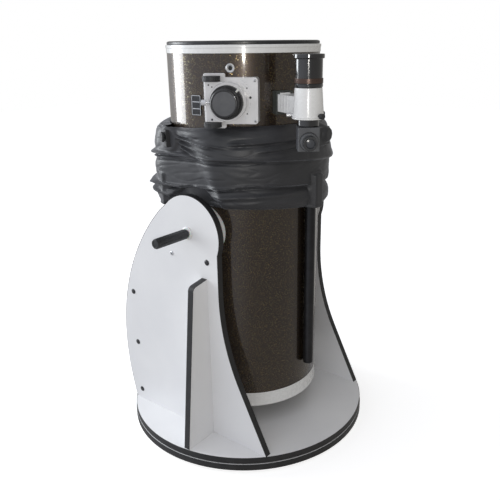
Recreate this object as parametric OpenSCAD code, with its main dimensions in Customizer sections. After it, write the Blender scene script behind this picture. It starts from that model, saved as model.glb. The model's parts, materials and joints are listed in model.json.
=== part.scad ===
// Collapsible truss Dobsonian telescope: a Newtonian tube on a rocker box.
// Millimetres, +Z up. Origin: centre of the round base, on the floor.
// -Y is the open side of the rocker box, +X is to the right seen from there.

/* [Base] */
// Radius of the ground board with its edge band
ground_r = 315; // [310:1:330]
// Thickness of every laminated board
board_t = 16; // [15:0.5:18]
// Height of the rubber feet
foot_h = 10; // [8:1:20]
// Gap between the ground board and the base disc
base_gap = 2; // [2:0.5:4]

/* [Rocker box] */
// Height of the altitude axis above the floor
axis_z = 560; // [550:1:580]
// Inner face of each side board, from the middle plane
side_x = 200.5; // [200:0.5:206]
// Radius of the round top of a side board
side_top_r = 93; // [88:1:100]
// How far the grips stand out from the middle plane
handle_reach = 317; // [300:1:330]

/* [Tube] */
// Outer radius of the tube
tube_r = 178; // [176:0.5:180]
// Wall of the rolled steel tube
tube_wall = 1.5; // [1:0.25:2]
// How far the tube's axis lies behind the base's middle
tube_back = -8; // [-12:1:0]
// Underside of the lower tube's end ring
tube_z0 = 101; // [98:1:110]
// Top edge of the lower tube
tube_z1 = 702; // [690:1:706]
// Lower edge of the upper cage
cage_z0 = 712; // [708:1:730]
// Upper edge of the cage's end ring
cage_z1 = 965; // [955:1:975]

/* [Truss] */
// Outer radius of a strut
strut_r = 12.5; // [10:0.5:14]
// Distance of the struts from the tube's axis
strut_orbit = 192; // [191:0.5:195]
// Lower end of the struts with the telescope collapsed
strut_z0 = 194; // [190:1:220]
// Upper end of the struts
strut_z1 = 782; // [775:1:790]

/* [Optics] */
// Radius of the primary mirror
mirror_r = 152.5; // [150:0.5:155]
// Thickness of the primary mirror
mirror_t = 32; // [25:1:38]
// Radius of the secondary mirror, seen along the tube
secondary_r = 35; // [30:1:40]

/* [Focuser and finder] */
// Direction of the focuser, in degrees to the left of the open side
focuser_angle = 60; // [55:1:65]
// Height of the focuser's axis
focuser_z = 854; // [850:1:860]
// Direction of the finder, in degrees to the left of the open side
finder_angle = 25; // [22:1:30]
// Distance of the finder's axis from the tube's axis
finder_orbit = 290; // [285:1:300]

/* [Hidden] */
$fn = 72;

// Heights of the board stack
ground_top = foot_h + board_t;
disc_z = ground_top + base_gap;
floor_z = disc_z + board_t;
disc_r = ground_r - 1.5;
band_t = 1.2;
side_out = side_x + board_t;

// Outline of a side board, in (y, z): a round top, a concave front flare, and a bowed back
side_top = [-10, axis_z - 4];
neck_y = -96;
flare_r = 510;
flare_a = 26.6;
flare_z = axis_z - 132;
back_y = 246;
back_z = axis_z - 345;
back_r = 535;
back_a = 46;
back_low_r = 650;

// Altitude bearing and the two posts that carry it on each side
bearing_r = 69.7;
post_r = 12;
post_dy = 56;
post_dz = -60;
post_hole_r = 3.05;
handle_hole_r = 9;
stud_r = 6;

// Pivot and azimuth bearing
pivot_r = 6;
bush_r = 9;
roller_orbit = 175;
roller_len = 40;
roller_count = 24;

// Struts stand at these directions, in degrees to the left of the open side
STRUT_ANGLES = [0, 120, 240];
clamp_z = 650;
clamp_h = 36;
bracket_z = 748;
bracket_h = 38;
knob_z = 770;
block_reach = strut_orbit + strut_r + 4.5;
block_w = 2 * strut_r + 10;
// The upper brackets reach to one side, where their knobs stand
bracket_knob_dx = 34;
bracket_arm = bracket_knob_dx + 14 - block_w / 2;

// Spider vanes share the focuser's direction
VANE_ANGLES = [for (i = [0:3]) focuser_angle + 90 * i];
vane_z = 919;
ring_lip = 2.3;

// Focuser, measured outwards from the tube's axis
flange_out = 196;
body_out = 223;
collar_out = 236;
drawtube_out = 246;
drawtube_r = 30;
collar_r = 34;
socket_r = 25.5;
plug_r = 29;
shaft_r = 3;
shaft_dx = -(drawtube_r + shaft_r + 0.05);
shaft_out = 216;
housing_h = 80;
knob_y = 40.8;
knob_h = 10.4;

// Finder heights
finder_top = 947;
finder_ring_z0 = 824;
finder_ring_z1 = 884;
finder_neck_z = 809;
diagonal_z = 761;
diagonal_w = 44;
eyepiece_turn = 25;

// Finder screws and spring plunger: directions in degrees to the left of the open side
screw_z = 831;
screw_front_a = 12.7;
screw_side_a = screw_front_a - 90;
plunger_a = screw_front_a + 135;

// Turns the frame so that -Y points outwards at an angle left of the open side
module around(angle) {
    translate([0, tube_back, 0])
        rotate([0, 0, -angle])
            children();
}

// Stands on the tube's side: X to the right, Y up, Z outwards
module facing(angle, out, z) {
    around(angle)
        translate([0, -out, z])
            rotate([90, 0, 0])
                children();
}

// The space inside a cylinder about the tube's axis
module core(r) {
    translate([0, tube_back, -1])
        cylinder(r = r, h = 1200);
}

// A hoop about the tube's axis
module hoop(r_out, r_in, z0, z1) {
    translate([0, tube_back, z0])
        difference() {
            cylinder(r = r_out, h = z1 - z0);
            translate([0, 0, -1])
                cylinder(r = r_in, h = z1 - z0 + 2);
        }
}

module rounded_plate(w, h, r, t) {
    linear_extrude(t) {
        square([w - 2 * r, h], center = true);
        square([w, h - 2 * r], center = true);
        for (sx = [-1, 1], sy = [-1, 1])
            translate([sx * (w / 2 - r), sy * (h / 2 - r)])
                circle(r);
    }
}

// A round knob with shallow scallops around its rim
module scalloped_knob(r, h, count, bite) {
    difference() {
        cylinder(r = r, h = h);
        for (i = [0:count - 1])
            rotate([0, 0, i * 360 / count])
                translate([r + bite / 2, 0, -1])
                    cylinder(r = bite, h = h + 2);
    }
}

function arc(centre, r, a0, a1, n) = [
    for (i = [0:n]) centre + r * [cos(a0 + (a1 - a0) * i / n), sin(a0 + (a1 - a0) * i / n)]
];

// The front flare starts upright at the neck and ends in a straight slope to the base disc
function flare_end(inset) = [neck_y + inset - (flare_r + inset) * (1 - cos(flare_a)),
                             flare_z - (flare_r + inset) * sin(flare_a)];

function flare_foot(inset) = flare_end(inset)
    - [tan(flare_a), 1] * (flare_end(inset)[1] - floor_z);

function side_outline(inset) = concat(
    [flare_foot(inset)],
    arc([neck_y - flare_r, flare_z], flare_r + inset, -flare_a, 0, 16),
    arc(side_top, side_top_r - inset, 202, back_a, 30),
    arc([back_y - back_r, back_z], back_r - inset, back_a, 0, 22),
    arc([back_y - back_low_r, back_z], back_low_r - inset, 0,
        -asin((back_z - floor_z) / (back_low_r - inset)), 8)
);

function gusset_outline(inset) = concat(
    [[side_out, floor_z], [306 - inset, floor_z]],
    arc([251, axis_z - 120], 13 - inset, -6, 80, 8),
    [[side_out, axis_z - 101 - inset]]
);

// Extrudes a (y, z) outline along X, from x to x + board_t
module upright(x, outline) {
    translate([x, 0, 0])
        rotate([90, 0, 90])
            linear_extrude(board_t)
                polygon(outline);
}

// Extrudes an (x, z) outline towards +Y, from y to y + board_t
module crosswise(y) {
    translate([0, y + board_t, 0])
        rotate([90, 0, 0])
            linear_extrude(board_t)
                children();
}

gusset_y = -62;
front_y = 193;
front_top = axis_z - 160;
front_dip_r = 229;

module front_outline(inset) {
    difference() {
        translate([-side_x, floor_z])
            square([2 * side_x, front_top - floor_z - inset]);
        translate([0, axis_z])
            circle(front_dip_r + inset, $fn = 120);
    }
}

module board_disc(r, z, hole_r) {
    translate([0, 0, z])
        difference() {
            cylinder(r = r, h = board_t, $fn = 180);
            translate([0, 0, -1])
                cylinder(r = hole_r, h = board_t + 2);
        }
}

module edge_ring(r, z) {
    translate([0, 0, z])
        difference() {
            cylinder(r = r, h = board_t, $fn = 180);
            translate([0, 0, -1])
                cylinder(r = r - band_t, h = board_t + 2, $fn = 180);
        }
}

// ---- Base ----

module ground_board() {
    color("whitesmoke")
        difference() {
            board_disc(ground_r - band_t, foot_h, pivot_r + 0.1);
            translate([0, 0, ground_top - base_gap])
                difference() {
                    cylinder(r = roller_orbit + roller_len / 2 + 6, h = base_gap + 1);
                    translate([0, 0, -1])
                        cylinder(r = roller_orbit - roller_len / 2 - 6, h = base_gap + 3);
                }
        }
}

module ground_edge_band() {
    color("black")
        edge_ring(ground_r, foot_h);
}

module feet() {
    color("dimgray")
        for (a = [30, 150, 270])
            rotate([0, 0, a])
                translate([250, 0, 0])
                    difference() {
                        cylinder(r = 21, h = foot_h);
                        translate([0, 0, -1])
                            cylinder(r = 6, h = 5);
                    }
}

module azimuth_roller_cage() {
    thick = 2 * base_gap - 0.4;
    color("lightgray")
        translate([0, 0, ground_top - base_gap + 0.2]) {
            difference() {
                cylinder(r = roller_orbit + roller_len / 2 + 4, h = thick);
                translate([0, 0, -1])
                    cylinder(r = roller_orbit - roller_len / 2 - 4, h = thick + 2);
                for (i = [0:roller_count - 1])
                    rotate([0, 0, i * 360 / roller_count])
                        translate([roller_orbit - roller_len / 2 - 0.5, -2.2, -1])
                            cube([roller_len + 1, 4.4, thick + 2]);
            }
            for (i = [0:roller_count - 1])
                rotate([0, 0, i * 360 / roller_count])
                    translate([roller_orbit - roller_len / 2, 0, thick / 2])
                        rotate([0, 90, 0])
                            cylinder(r = thick / 2, h = roller_len);
        }
}

module pivot_bolt() {
    color("silver") {
        translate([0, 0, foot_h - 7])
            cylinder(r = 11, h = 7, $fn = 6);
        translate([0, 0, foot_h])
            cylinder(r = pivot_r, h = floor_z + 16 - foot_h);
    }
}

module pivot_bush() {
    color("white")
        translate([0, 0, disc_z])
            difference() {
                union() {
                    cylinder(r = bush_r, h = board_t);
                    translate([0, 0, board_t])
                        cylinder(r = 16, h = 2);
                }
                translate([0, 0, -1])
                    cylinder(r = pivot_r + 0.05, h = board_t + 4);
            }
}

module pivot_nut() {
    color("silver")
        translate([0, 0, floor_z + 2.2])
            difference() {
                union() {
                    cylinder(r = 14, h = 1.8);
                    translate([0, 0, 1.8])
                        cylinder(r = 11, h = 9, $fn = 6);
                }
                translate([0, 0, -1])
                    cylinder(r = pivot_r, h = 14);
            }
}

// ---- Rocker box ----

module base_disc() {
    color("whitesmoke")
        board_disc(disc_r - band_t, disc_z, bush_r);
}

module base_edge_band() {
    color("black")
        edge_ring(disc_r, disc_z);
}

// Two posts and the handle's stud pass through each side board
module side_board(side) {
    color("whitesmoke")
        difference() {
            upright(side > 0 ? side_x : -side_out, side_outline(band_t));
            translate([0, tube_back, axis_z])
                rotate([0, 90, 0])
                    cylinder(r = handle_hole_r, h = 2 * side_out + 2, center = true);
            for (s = [-1, 1])
                translate([0, tube_back + s * post_dy, axis_z + post_dz])
                    rotate([0, 90, 0])
                        cylinder(r = post_hole_r, h = 2 * side_out + 2, center = true);
        }
}

module side_board_left() {
    side_board(-1);
}

module side_board_right() {
    side_board(1);
}

module gusset_left() {
    color("whitesmoke")
        mirror([1, 0, 0])
            crosswise(gusset_y)
                polygon(gusset_outline(band_t));
}

module gusset_right() {
    color("whitesmoke")
        crosswise(gusset_y)
            polygon(gusset_outline(band_t));
}

module front_board() {
    color("whitesmoke")
        crosswise(front_y)
            front_outline(band_t);
}

module board_edge_bands() {
    color("black") {
        for (x = [-side_out, side_x])
            translate([x, 0, 0])
                rotate([90, 0, 90])
                    linear_extrude(board_t)
                        difference() {
                            polygon(side_outline(0));
                            polygon(side_outline(band_t));
                        }
        for (m = [0, 1])
            mirror([m, 0, 0])
                crosswise(gusset_y)
                    difference() {
                        polygon(gusset_outline(0));
                        polygon(gusset_outline(band_t));
                    }
        crosswise(front_y)
            difference() {
                front_outline(0);
                front_outline(band_t);
            }
    }
}

// Caps over the screws that hold the front board and the front post, on both sides
module screw_caps() {
    color("black")
        for (m = [0, 1])
            mirror([m, 0, 0])
                for (at = [[201, 73], [201, 218], [201, 364], [tube_back - post_dy, axis_z + post_dz]])
                    translate([side_out, at[0], at[1]])
                        rotate([0, 90, 0])
                            cylinder(r = 7, h = 2.2);
}

module altitude_posts() {
    color("white")
        for (m = [0, 1], s = [-1, 1])
            mirror([m, 0, 0])
                translate([side_x - 17, tube_back + s * post_dy, axis_z + post_dz])
                    rotate([0, 90, 0])
                        difference() {
                            cylinder(r = post_r, h = 17);
                            translate([0, 0, 3])
                                cylinder(r = post_hole_r, h = 17);
                        }
}

module post_screws() {
    shank = board_t + 12;
    color("silver")
        for (m = [0, 1], s = [-1, 1])
            mirror([m, 0, 0])
                translate([side_out - shank, tube_back + s * post_dy, axis_z + post_dz])
                    rotate([0, 90, 0]) {
                        cylinder(r = 3, h = shank);
                        if (s > 0)
                            translate([0, 0, shank])
                                cylinder(r = 5, h = 2);
                    }
}

// ---- Lower tube ----

module altitude_bearings() {
    color("white")
        difference() {
            for (m = [0, 1])
                mirror([m, 0, 0])
                    translate([155, tube_back, axis_z])
                        rotate([0, 90, 0])
                            difference() {
                                cylinder(r = bearing_r, h = side_x - 155 - 2, $fn = 120);
                                translate([0, 0, 20])
                                    cylinder(r = stud_r + 0.05, h = 40);
                            }
            core(tube_r);
        }
}

// Grip, light washer and the stud that pulls the bearing against the side board
module handle(side) {
    grip = handle_reach - side_out - 4.3;
    mirror([side > 0 ? 0 : 1, 0, 0])
        translate([0, tube_back, axis_z])
            rotate([0, 90, 0]) {
                translate([0, 0, side_out + 4.3])
                    color("black")
                        difference() {
                            cylinder(r = 11.5, h = grip);
                            for (i = [0:7])
                                rotate([0, 0, i * 45])
                                    translate([12.6, 0, 4])
                                        cylinder(r = 2.2, h = grip - 8);
                        }
                color("silver")
                    translate([0, 0, side_out + 0.3])
                        cylinder(r = 15, h = 4);
                color("silver")
                    translate([0, 0, 182])
                        cylinder(r = stud_r, h = side_out - 181);
            }
}

module handle_left() {
    handle(-1);
}

module handle_right() {
    handle(1);
}

module lower_tube() {
    color([0.16, 0.11, 0.09])
        hoop(tube_r, tube_r - tube_wall, tube_z0 + 3, tube_z1);
}

module bottom_ring() {
    color("white")
        difference() {
            hoop(tube_r + 1.5, tube_r - 10, tube_z0, tube_z0 + 38);
            hoop(tube_r, tube_r - 11, tube_z0 + 3, tube_z0 + 39);
        }
}

module tube_top_ring() {
    color([0.1, 0.1, 0.1])
        difference() {
            hoop(tube_r + 1.2, tube_r - 5, tube_z1 - 14, tube_z1 + 3);
            hoop(tube_r, tube_r - tube_wall, tube_z1 - 15, tube_z1);
        }
}

module mirror_cell() {
    color([0.12, 0.12, 0.13])
        translate([0, tube_back, tube_z0 + 8])
            difference() {
                cylinder(r = tube_r - tube_wall, h = 9);
                for (i = [0:5])
                    rotate([0, 0, i * 60 + 30])
                        translate([104, 0, -1])
                            cylinder(r = 38, h = 11);
                translate([0, 0, -1])
                    cylinder(r = 30, h = 11);
                for (i = [0:2])
                    rotate([0, 0, i * 120])
                        translate([0, 120, -1])
                            cylinder(r = 4.05, h = 11);
            }
}

module mirror_carrier() {
    color([0.2, 0.2, 0.21])
        translate([0, tube_back, tube_z0 + 29]) {
            difference() {
                cylinder(r = 135, h = 8);
                for (i = [0:5])
                    rotate([0, 0, i * 60 + 30])
                        translate([86, 0, -1])
                            cylinder(r = 30, h = 10);
                for (i = [0:2])
                    rotate([0, 0, i * 120])
                        translate([0, 120, -1])
                            cylinder(r = 4.05, h = 10);
            }
            for (i = [0:8])
                rotate([0, 0, i * 40 + 20])
                    translate([0, 126, 8])
                        cylinder(r = 6, h = 3);
        }
}

mirror_z = tube_z0 + 40;

module primary_mirror() {
    color("lightcyan")
        translate([0, tube_back, mirror_z])
            difference() {
                cylinder(r = mirror_r, h = mirror_t);
                translate([0, 0, mirror_t - 3.9 + 3000])
                    sphere(r = 3000, $fn = 300);
            }
}

// Three clips stand on the cell beside the mirror's edge and reach over it
module mirror_clips() {
    color("black")
        for (i = [0:2])
            around(60 + 120 * i)
                translate([-9, 0, 0]) {
                    translate([0, -mirror_r - 9, tube_z0 + 17])
                        cube([18, 8, mirror_z + mirror_t + 5 - tube_z0 - 17]);
                    translate([0, -mirror_r - 1, mirror_z + mirror_t + 1])
                        cube([18, 8, 4]);
                }
}

module collimation_screws() {
    color("silver")
        for (i = [0:2])
            translate([0, tube_back, tube_z0])
                rotate([0, 0, i * 120])
                    translate([0, 120, 0]) {
                        cylinder(r = 4, h = 37);
                        cylinder(r = 11, h = 7);
                        translate([0, 0, 18])
                            difference() {
                                cylinder(r = 8, h = 10.5);
                                translate([0, 0, -1])
                                    cylinder(r = 4.5, h = 13);
                            }
                    }
}

// A saddle block on the tube's side with a bore for a strut, and an arm to one side
module strut_block(angle, z, h, bore_r, arm) {
    difference() {
        around(angle)
            translate([-block_w / 2, -block_reach, z])
                cube([block_w + arm, block_reach - 168, h]);
        core(tube_r);
        around(angle)
            translate([0, -strut_orbit, z - 1])
                cylinder(r = bore_r, h = h + 2);
    }
}

module strut_clamps() {
    color("white")
        for (a = STRUT_ANGLES)
            strut_block(a, clamp_z, clamp_h, strut_r + 0.06, 0);
}

// Small knob on a strut block's outer face, dx to the right of the strut
module side_knob(angle, z, dx) {
    facing(angle, block_reach + 0.3, z)
        translate([dx, 0, 0])
            color("black") {
                cylinder(r = 5, h = 2);
                translate([0, 0, 2])
                    scalloped_knob(11.5, 5.5, 8, 2.2);
            }
}

module lock_knob_front() {
    side_knob(STRUT_ANGLES[0], clamp_z + clamp_h / 2, 0);
}

module lock_knob_left() {
    side_knob(STRUT_ANGLES[1], clamp_z + clamp_h / 2, 0);
}

module lock_knob_right() {
    side_knob(STRUT_ANGLES[2], clamp_z + clamp_h / 2, 0);
}

// ---- Upper cage ----

module truss_struts() {
    color([0.07, 0.07, 0.08])
        for (a = STRUT_ANGLES)
            around(a)
                translate([0, -strut_orbit, strut_z0]) {
                    difference() {
                        cylinder(r = strut_r, h = strut_z1 - strut_z0);
                        translate([0, 0, 6])
                            cylinder(r = strut_r - 1.5, h = strut_z1 - strut_z0 - 12);
                    }
                    translate([0, 0, -3])
                        cylinder(r = 5, h = 3);
                }
}

module cage_brackets() {
    color([0.1, 0.1, 0.11])
        for (a = STRUT_ANGLES)
            strut_block(a, bracket_z, bracket_h, strut_r, bracket_arm);
}

module bracket_knobs() {
    for (a = STRUT_ANGLES)
        side_knob(a, knob_z, bracket_knob_dx);
}

module upper_cage() {
    color([0.16, 0.11, 0.09])
        difference() {
            hoop(tube_r, tube_r - tube_wall, cage_z0, cage_z1 - 3);
            facing(focuser_angle, 160, focuser_z)
                cylinder(r = drawtube_r + 3, h = 30);
        }
}

module cage_top_ring() {
    color("white")
        difference() {
            hoop(tube_r + ring_lip, tube_r - 4, cage_z1 - 17, cage_z1);
            hoop(tube_r, tube_r - tube_wall, cage_z1 - 18, cage_z1 - 3);
        }
}

module spider() {
    color("black")
        translate([0, tube_back, 0]) {
            translate([0, 0, vane_z - 20])
                difference() {
                    cylinder(r = 22, h = 38);
                    translate([0, 0, -1])
                        cylinder(r = 4, h = 41);
                }
            for (a = VANE_ANGLES)
                rotate([0, 0, -a])
                    translate([-0.5, -(tube_r - tube_wall), vane_z - 15])
                        cube([1, tube_r - tube_wall - 21.5, 30]);
        }
}

// Vane screws with their dished washers, and the four screws of the focuser's flange
module cage_screws() {
    color("silver") {
        for (a = VANE_ANGLES)
            facing(a, tube_r, vane_z)
                difference() {
                    cylinder(r = 9.5, h = 2.2);
                    translate([0, 0, 1])
                        difference() {
                            cylinder(r = 7, h = 2);
                            cylinder(r = 4, h = 3);
                        }
                }
        for (at = [[-42, 43.6], [54, 41]], side = [-1, 1])
            facing(focuser_angle, flange_out, focuser_z)
                translate([at[0], side * at[1], 0])
                    cylinder(r = 3.2, h = 1.6);
    }
}

// The secondary stands at 45 degrees and sends the light out at the focuser
module secondary_holder() {
    color([0.1, 0.1, 0.1])
        around(focuser_angle)
            translate([0, 0, focuser_z]) {
                difference() {
                    translate([0, 0, -40])
                        cylinder(r = 33, h = 72);
                    rotate([-45, 0, 0])
                        translate([-100, -100, -196])
                            cube([200, 200, 200]);
                }
                translate([0, 0, 32])
                    cylinder(r = 4, h = vane_z + 26 - focuser_z - 32);
                for (i = [0:2])
                    rotate([0, 0, 120 * i])
                        translate([14, 0, 32])
                            cylinder(r = 2.5, h = vane_z - 20 - focuser_z - 32);
            }
}

module secondary_mirror() {
    color("lightcyan")
        around(focuser_angle)
            translate([0, 0, focuser_z])
                intersection() {
                    cylinder(r = secondary_r, h = 120, center = true);
                    rotate([-45, 0, 0])
                        translate([-100, -100, -4])
                            cube([200, 200, 8]);
                }
}

module dust_cap() {
    color([0.08, 0.08, 0.09])
        translate([0, tube_back, 0]) {
            translate([0, 0, cage_z1 + 0.3])
                cylinder(r = tube_r - 1, h = 7.7);
            translate([0, 0, cage_z1 - 16])
                difference() {
                    cylinder(r = tube_r - 5, h = 16.3);
                    translate([0, 0, -1])
                        cylinder(r = tube_r - 8, h = 17.3);
                }
        }
}

module label_plate() {
    color("dimgray")
        difference() {
            facing(86.5, 174, 842)
                rounded_plate(26, 43, 3, 6);
            core(tube_r + 0.6);
        }
}

// ---- Focuser ----

module focuser_base() {
    color("gainsboro")
        difference() {
            facing(focuser_angle, 164, focuser_z) {
                translate([6, 0, 0])
                    rounded_plate(108, 95, 7, flange_out - 164);
                translate([-31, 0, flange_out - 170])
                    rounded_plate(46, 112, 4, 6);
            }
            core(tube_r);
            facing(focuser_angle, 150, focuser_z)
                cylinder(r = drawtube_r + 3, h = 60);
        }
}

module focuser_body() {
    color("gainsboro")
        difference() {
            facing(focuser_angle, flange_out, focuser_z) {
                cylinder(r = 39, h = body_out - flange_out);
                translate([shaft_dx - 13, -housing_h / 2, 0])
                    cube([38, housing_h, 26]);
            }
            facing(focuser_angle, flange_out - 1, focuser_z)
                cylinder(r = drawtube_r + 0.06, h = 50);
            facing(focuser_angle, shaft_out, focuser_z)
                translate([shaft_dx, 0, 0])
                    rotate([90, 0, 0])
                        cylinder(r = shaft_r + 0.05, h = 120, center = true);
        }
}

module drawtube() {
    color([0.1, 0.1, 0.1])
        difference() {
            facing(focuser_angle, 0, focuser_z) {
                translate([0, 0, 168])
                    cylinder(r = drawtube_r, h = drawtube_out - 168);
                translate([0, 0, body_out + 1])
                    cylinder(r = collar_r, h = collar_out - body_out - 1);
                rotate([0, 0, 45])
                    translate([drawtube_r - 2, -1.8, collar_out - 2])
                        cube([collar_r + 4 - drawtube_r, 3.6, 4]);
            }
            facing(focuser_angle, 160, focuser_z)
                cylinder(r = socket_r, h = 100);
            facing(focuser_angle, collar_out - 6, focuser_z)
                rotate([0, -90, 0])
                    cylinder(r = 2.5, h = 60);
        }
}

// Two knobs on one steel roller shaft that rubs on the drawtube
module focus_knobs() {
    facing(focuser_angle, shaft_out, focuser_z)
        translate([shaft_dx, 0, 0]) {
            color("silver")
                rotate([90, 0, 0])
                    cylinder(r = shaft_r, h = 100, center = true);
            color([0.08, 0.08, 0.08])
                for (s = [0, 1])
                    mirror([0, s, 0])
                        translate([0, knob_y, 0])
                            rotate([-90, 0, 0])
                                scalloped_knob(18.5, knob_h, 24, 1.2);
        }
}

module drawtube_lock_screw() {
    color("silver")
        facing(focuser_angle, collar_out - 6, focuser_z)
            rotate([0, -90, 0]) {
                translate([0, 0, 26])
                    cylinder(r = 2.4, h = 16);
                translate([0, 0, 42])
                    scalloped_knob(6, 10, 12, 0.8);
            }
}

module focuser_plug() {
    color([0.12, 0.12, 0.13])
        facing(focuser_angle, drawtube_out + 0.5, focuser_z)
            cylinder(r = plug_r, h = 13);
}

// ---- Finder ----

module at_finder(z) {
    around(finder_angle)
        translate([0, -finder_orbit, z])
            children();
}

// Points outwards from the finder's axis at the height of its three screws
module finder_side(a) {
    at_finder(screw_z)
        rotate([0, 0, finder_angle - a])
            rotate([90, 0, 0])
                children();
}

module finder_shoe() {
    color("black")
        difference() {
            facing(finder_angle, 170, 848) {
                translate([-20, -24, 0])
                    cube([40, 48, 26]);
            }
            core(tube_r);
            facing(finder_angle, 186, 848)
                translate([-12.2, -18, 0])
                    cube([24.4, 60, 20]);
        }
}

module finder_bracket() {
    color("white")
        difference() {
            union() {
                facing(finder_angle, 186.3, 848)
                    translate([-12, -17.7, 0])
                        cube([24, 38, 12]);
                facing(finder_angle, 197.5, 848)
                    translate([-19, -17.7, 0])
                        cube([38, 36, finder_orbit - 197.5 - 20]);
                at_finder(finder_ring_z0) {
                    cylinder(r1 = 32, r2 = 27.5, h = finder_ring_z1 - finder_ring_z0);
                    cylinder(r = 33, h = 4);
                }
            }
            at_finder(finder_ring_z0 - 1)
                cylinder(r = 26, h = finder_ring_z1 - finder_ring_z0 + 2);
            for (a = [screw_front_a, screw_side_a, plunger_a])
                finder_side(a)
                    cylinder(r = 2.55, h = 40);
        }
}

module finder_tube() {
    color([0.1, 0.1, 0.1])
        at_finder(0)
            difference() {
                union() {
                    translate([0, 0, finder_neck_z])
                        cylinder(r = 22, h = 20);
                    translate([0, 0, finder_neck_z + 16])
                        cylinder(r = 25, h = finder_ring_z1 - finder_neck_z - 16);
                    translate([0, 0, finder_ring_z1 + 0.5])
                        cylinder(r = 28.5, h = 9);
                    translate([0, 0, finder_ring_z1])
                        cylinder(r = 27.5, h = finder_top - finder_ring_z1);
                    translate([0, 0, finder_top - 8])
                        cylinder(r = 31, h = 8);
                }
                translate([0, 0, finder_neck_z - 1])
                    cylinder(r = 18, h = 30);
                translate([0, 0, finder_neck_z + 20])
                    cylinder(r = 23.5, h = 70);
                translate([0, 0, finder_ring_z1 + 4])
                    cylinder(r = 25.5, h = 80);
            }
}

module finder_objective() {
    color("lightcyan")
        at_finder(finder_ring_z1 + 20)
            cylinder(r = 25.5, h = 7);
}

module finder_diagonal() {
    color([0.25, 0.25, 0.26])
        at_finder(0)
            rotate([0, 0, -eyepiece_turn])
                difference() {
                    union() {
                        translate([-diagonal_w / 2, -diagonal_w / 2, diagonal_z])
                            cube([diagonal_w, diagonal_w, finder_neck_z - diagonal_z]);
                        translate([0, -diagonal_w / 2, diagonal_z + 20])
                            rotate([90, 0, 0])
                                cylinder(r = 18, h = 10);
                    }
                    translate([0, -8, diagonal_z + 20])
                        rotate([90, 0, 0])
                            cylinder(r = 12.05, h = 40);
                    translate([0, 0, diagonal_z + 8])
                        cylinder(r = 16, h = 60);
                }
}

module finder_eyepiece() {
    color([0.06, 0.06, 0.06])
        at_finder(0)
            rotate([0, 0, -eyepiece_turn])
                translate([0, -18, diagonal_z + 20])
                    rotate([90, 0, 0])
                        difference() {
                            union() {
                                cylinder(r = 12, h = 20);
                                translate([0, 0, 14.3])
                                    cylinder(r = 14.5, h = 18);
                            }
                            translate([0, 0, -1])
                                cylinder(r = 9, h = 14);
                            translate([0, 0, 27])
                                cylinder(r = 9, h = 20);
                        }
}

module finder_thumbscrew(a) {
    color([0.1, 0.1, 0.1])
        finder_side(a) {
            translate([0, 0, 25.2])
                cylinder(r = 2.5, h = 12);
            translate([0, 0, 34.5])
                scalloped_knob(5.5, 8.5, 10, 0.8);
        }
}

module finder_screw_front() {
    finder_thumbscrew(screw_front_a);
}

module finder_screw_side() {
    finder_thumbscrew(screw_side_a);
}

module finder_plunger() {
    color("silver")
        finder_side(plunger_a) {
            translate([0, 0, 25.2])
                cylinder(r = 2.5, h = 12);
            translate([0, 0, 34.5])
                cylinder(r = 4.5, h = 8.5);
        }
}

// ---- Shroud ----

shroud_r = 224;
shroud_flat = side_x - 3;
shroud_t = 2;
shroud_z0 = 596;
shroud_step = 704;
shroud_z1 = 800;

// A round sleeve, flattened lower down where the side boards pass close by
module shroud_outline(r, flat) {
    intersection() {
        circle(r, $fn = 120);
        square([2 * flat, 600], center = true);
    }
}

// The hem lies over the altitude bearings
module truss_shroud() {
    color([0.14, 0.14, 0.16])
        difference() {
            translate([0, tube_back, shroud_z0]) {
                linear_extrude(shroud_step - shroud_z0)
                    difference() {
                        shroud_outline(shroud_r, shroud_flat);
                        shroud_outline(shroud_r - shroud_t, shroud_flat - shroud_t);
                    }
                translate([0, 0, shroud_step - shroud_z0])
                    linear_extrude(shroud_t)
                        difference() {
                            circle(shroud_r, $fn = 120);
                            shroud_outline(shroud_r - shroud_t, shroud_flat - shroud_t);
                        }
                translate([0, 0, shroud_step - shroud_z0])
                    linear_extrude(shroud_z1 - shroud_step)
                        difference() {
                            circle(shroud_r, $fn = 120);
                            circle(shroud_r - shroud_t, $fn = 120);
                        }
                linear_extrude(shroud_t)
                    difference() {
                        shroud_outline(shroud_r, shroud_flat);
                        circle(tube_r + 0.2, $fn = 120);
                        for (a = STRUT_ANGLES)
                            rotate([0, 0, -a])
                                translate([0, -strut_orbit])
                                    circle(strut_r + 1);
                    }
            }
            translate([0, tube_back, axis_z])
                rotate([0, 90, 0])
                    cylinder(r = bearing_r + 1.5, h = 2 * side_out, center = true, $fn = 120);
        }
}

ground_board();
ground_edge_band();
feet();
azimuth_roller_cage();
pivot_bolt();
pivot_bush();
pivot_nut();
base_disc();
base_edge_band();
side_board_left();
side_board_right();
gusset_left();
gusset_right();
front_board();
board_edge_bands();
screw_caps();
altitude_posts();
post_screws();
altitude_bearings();
handle_left();
handle_right();
lower_tube();
bottom_ring();
tube_top_ring();
mirror_cell();
mirror_carrier();
primary_mirror();
mirror_clips();
collimation_screws();
strut_clamps();
lock_knob_front();
lock_knob_left();
lock_knob_right();
truss_struts();
cage_brackets();
bracket_knobs();
upper_cage();
cage_top_ring();
spider();
cage_screws();
secondary_holder();
secondary_mirror();
dust_cap();
label_plate();
focuser_base();
focuser_body();
drawtube();
focus_knobs();
drawtube_lock_screw();
focuser_plug();
finder_shoe();
finder_bracket();
finder_tube();
finder_objective();
finder_diagonal();
finder_eyepiece();
finder_screw_front();
finder_screw_side();
finder_plunger();
truss_shroud();
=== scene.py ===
"""Studio scene of a collapsible truss Dobsonian telescope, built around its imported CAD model.

Metres, +Z up, in the model's own frame: -Y is the open side of the rocker box.
Directions around the tube are degrees to the left of that side.
"""
import json
import math

import bmesh
import bpy
from mathutils import Matrix, Quaternion, Vector, noise


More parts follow.
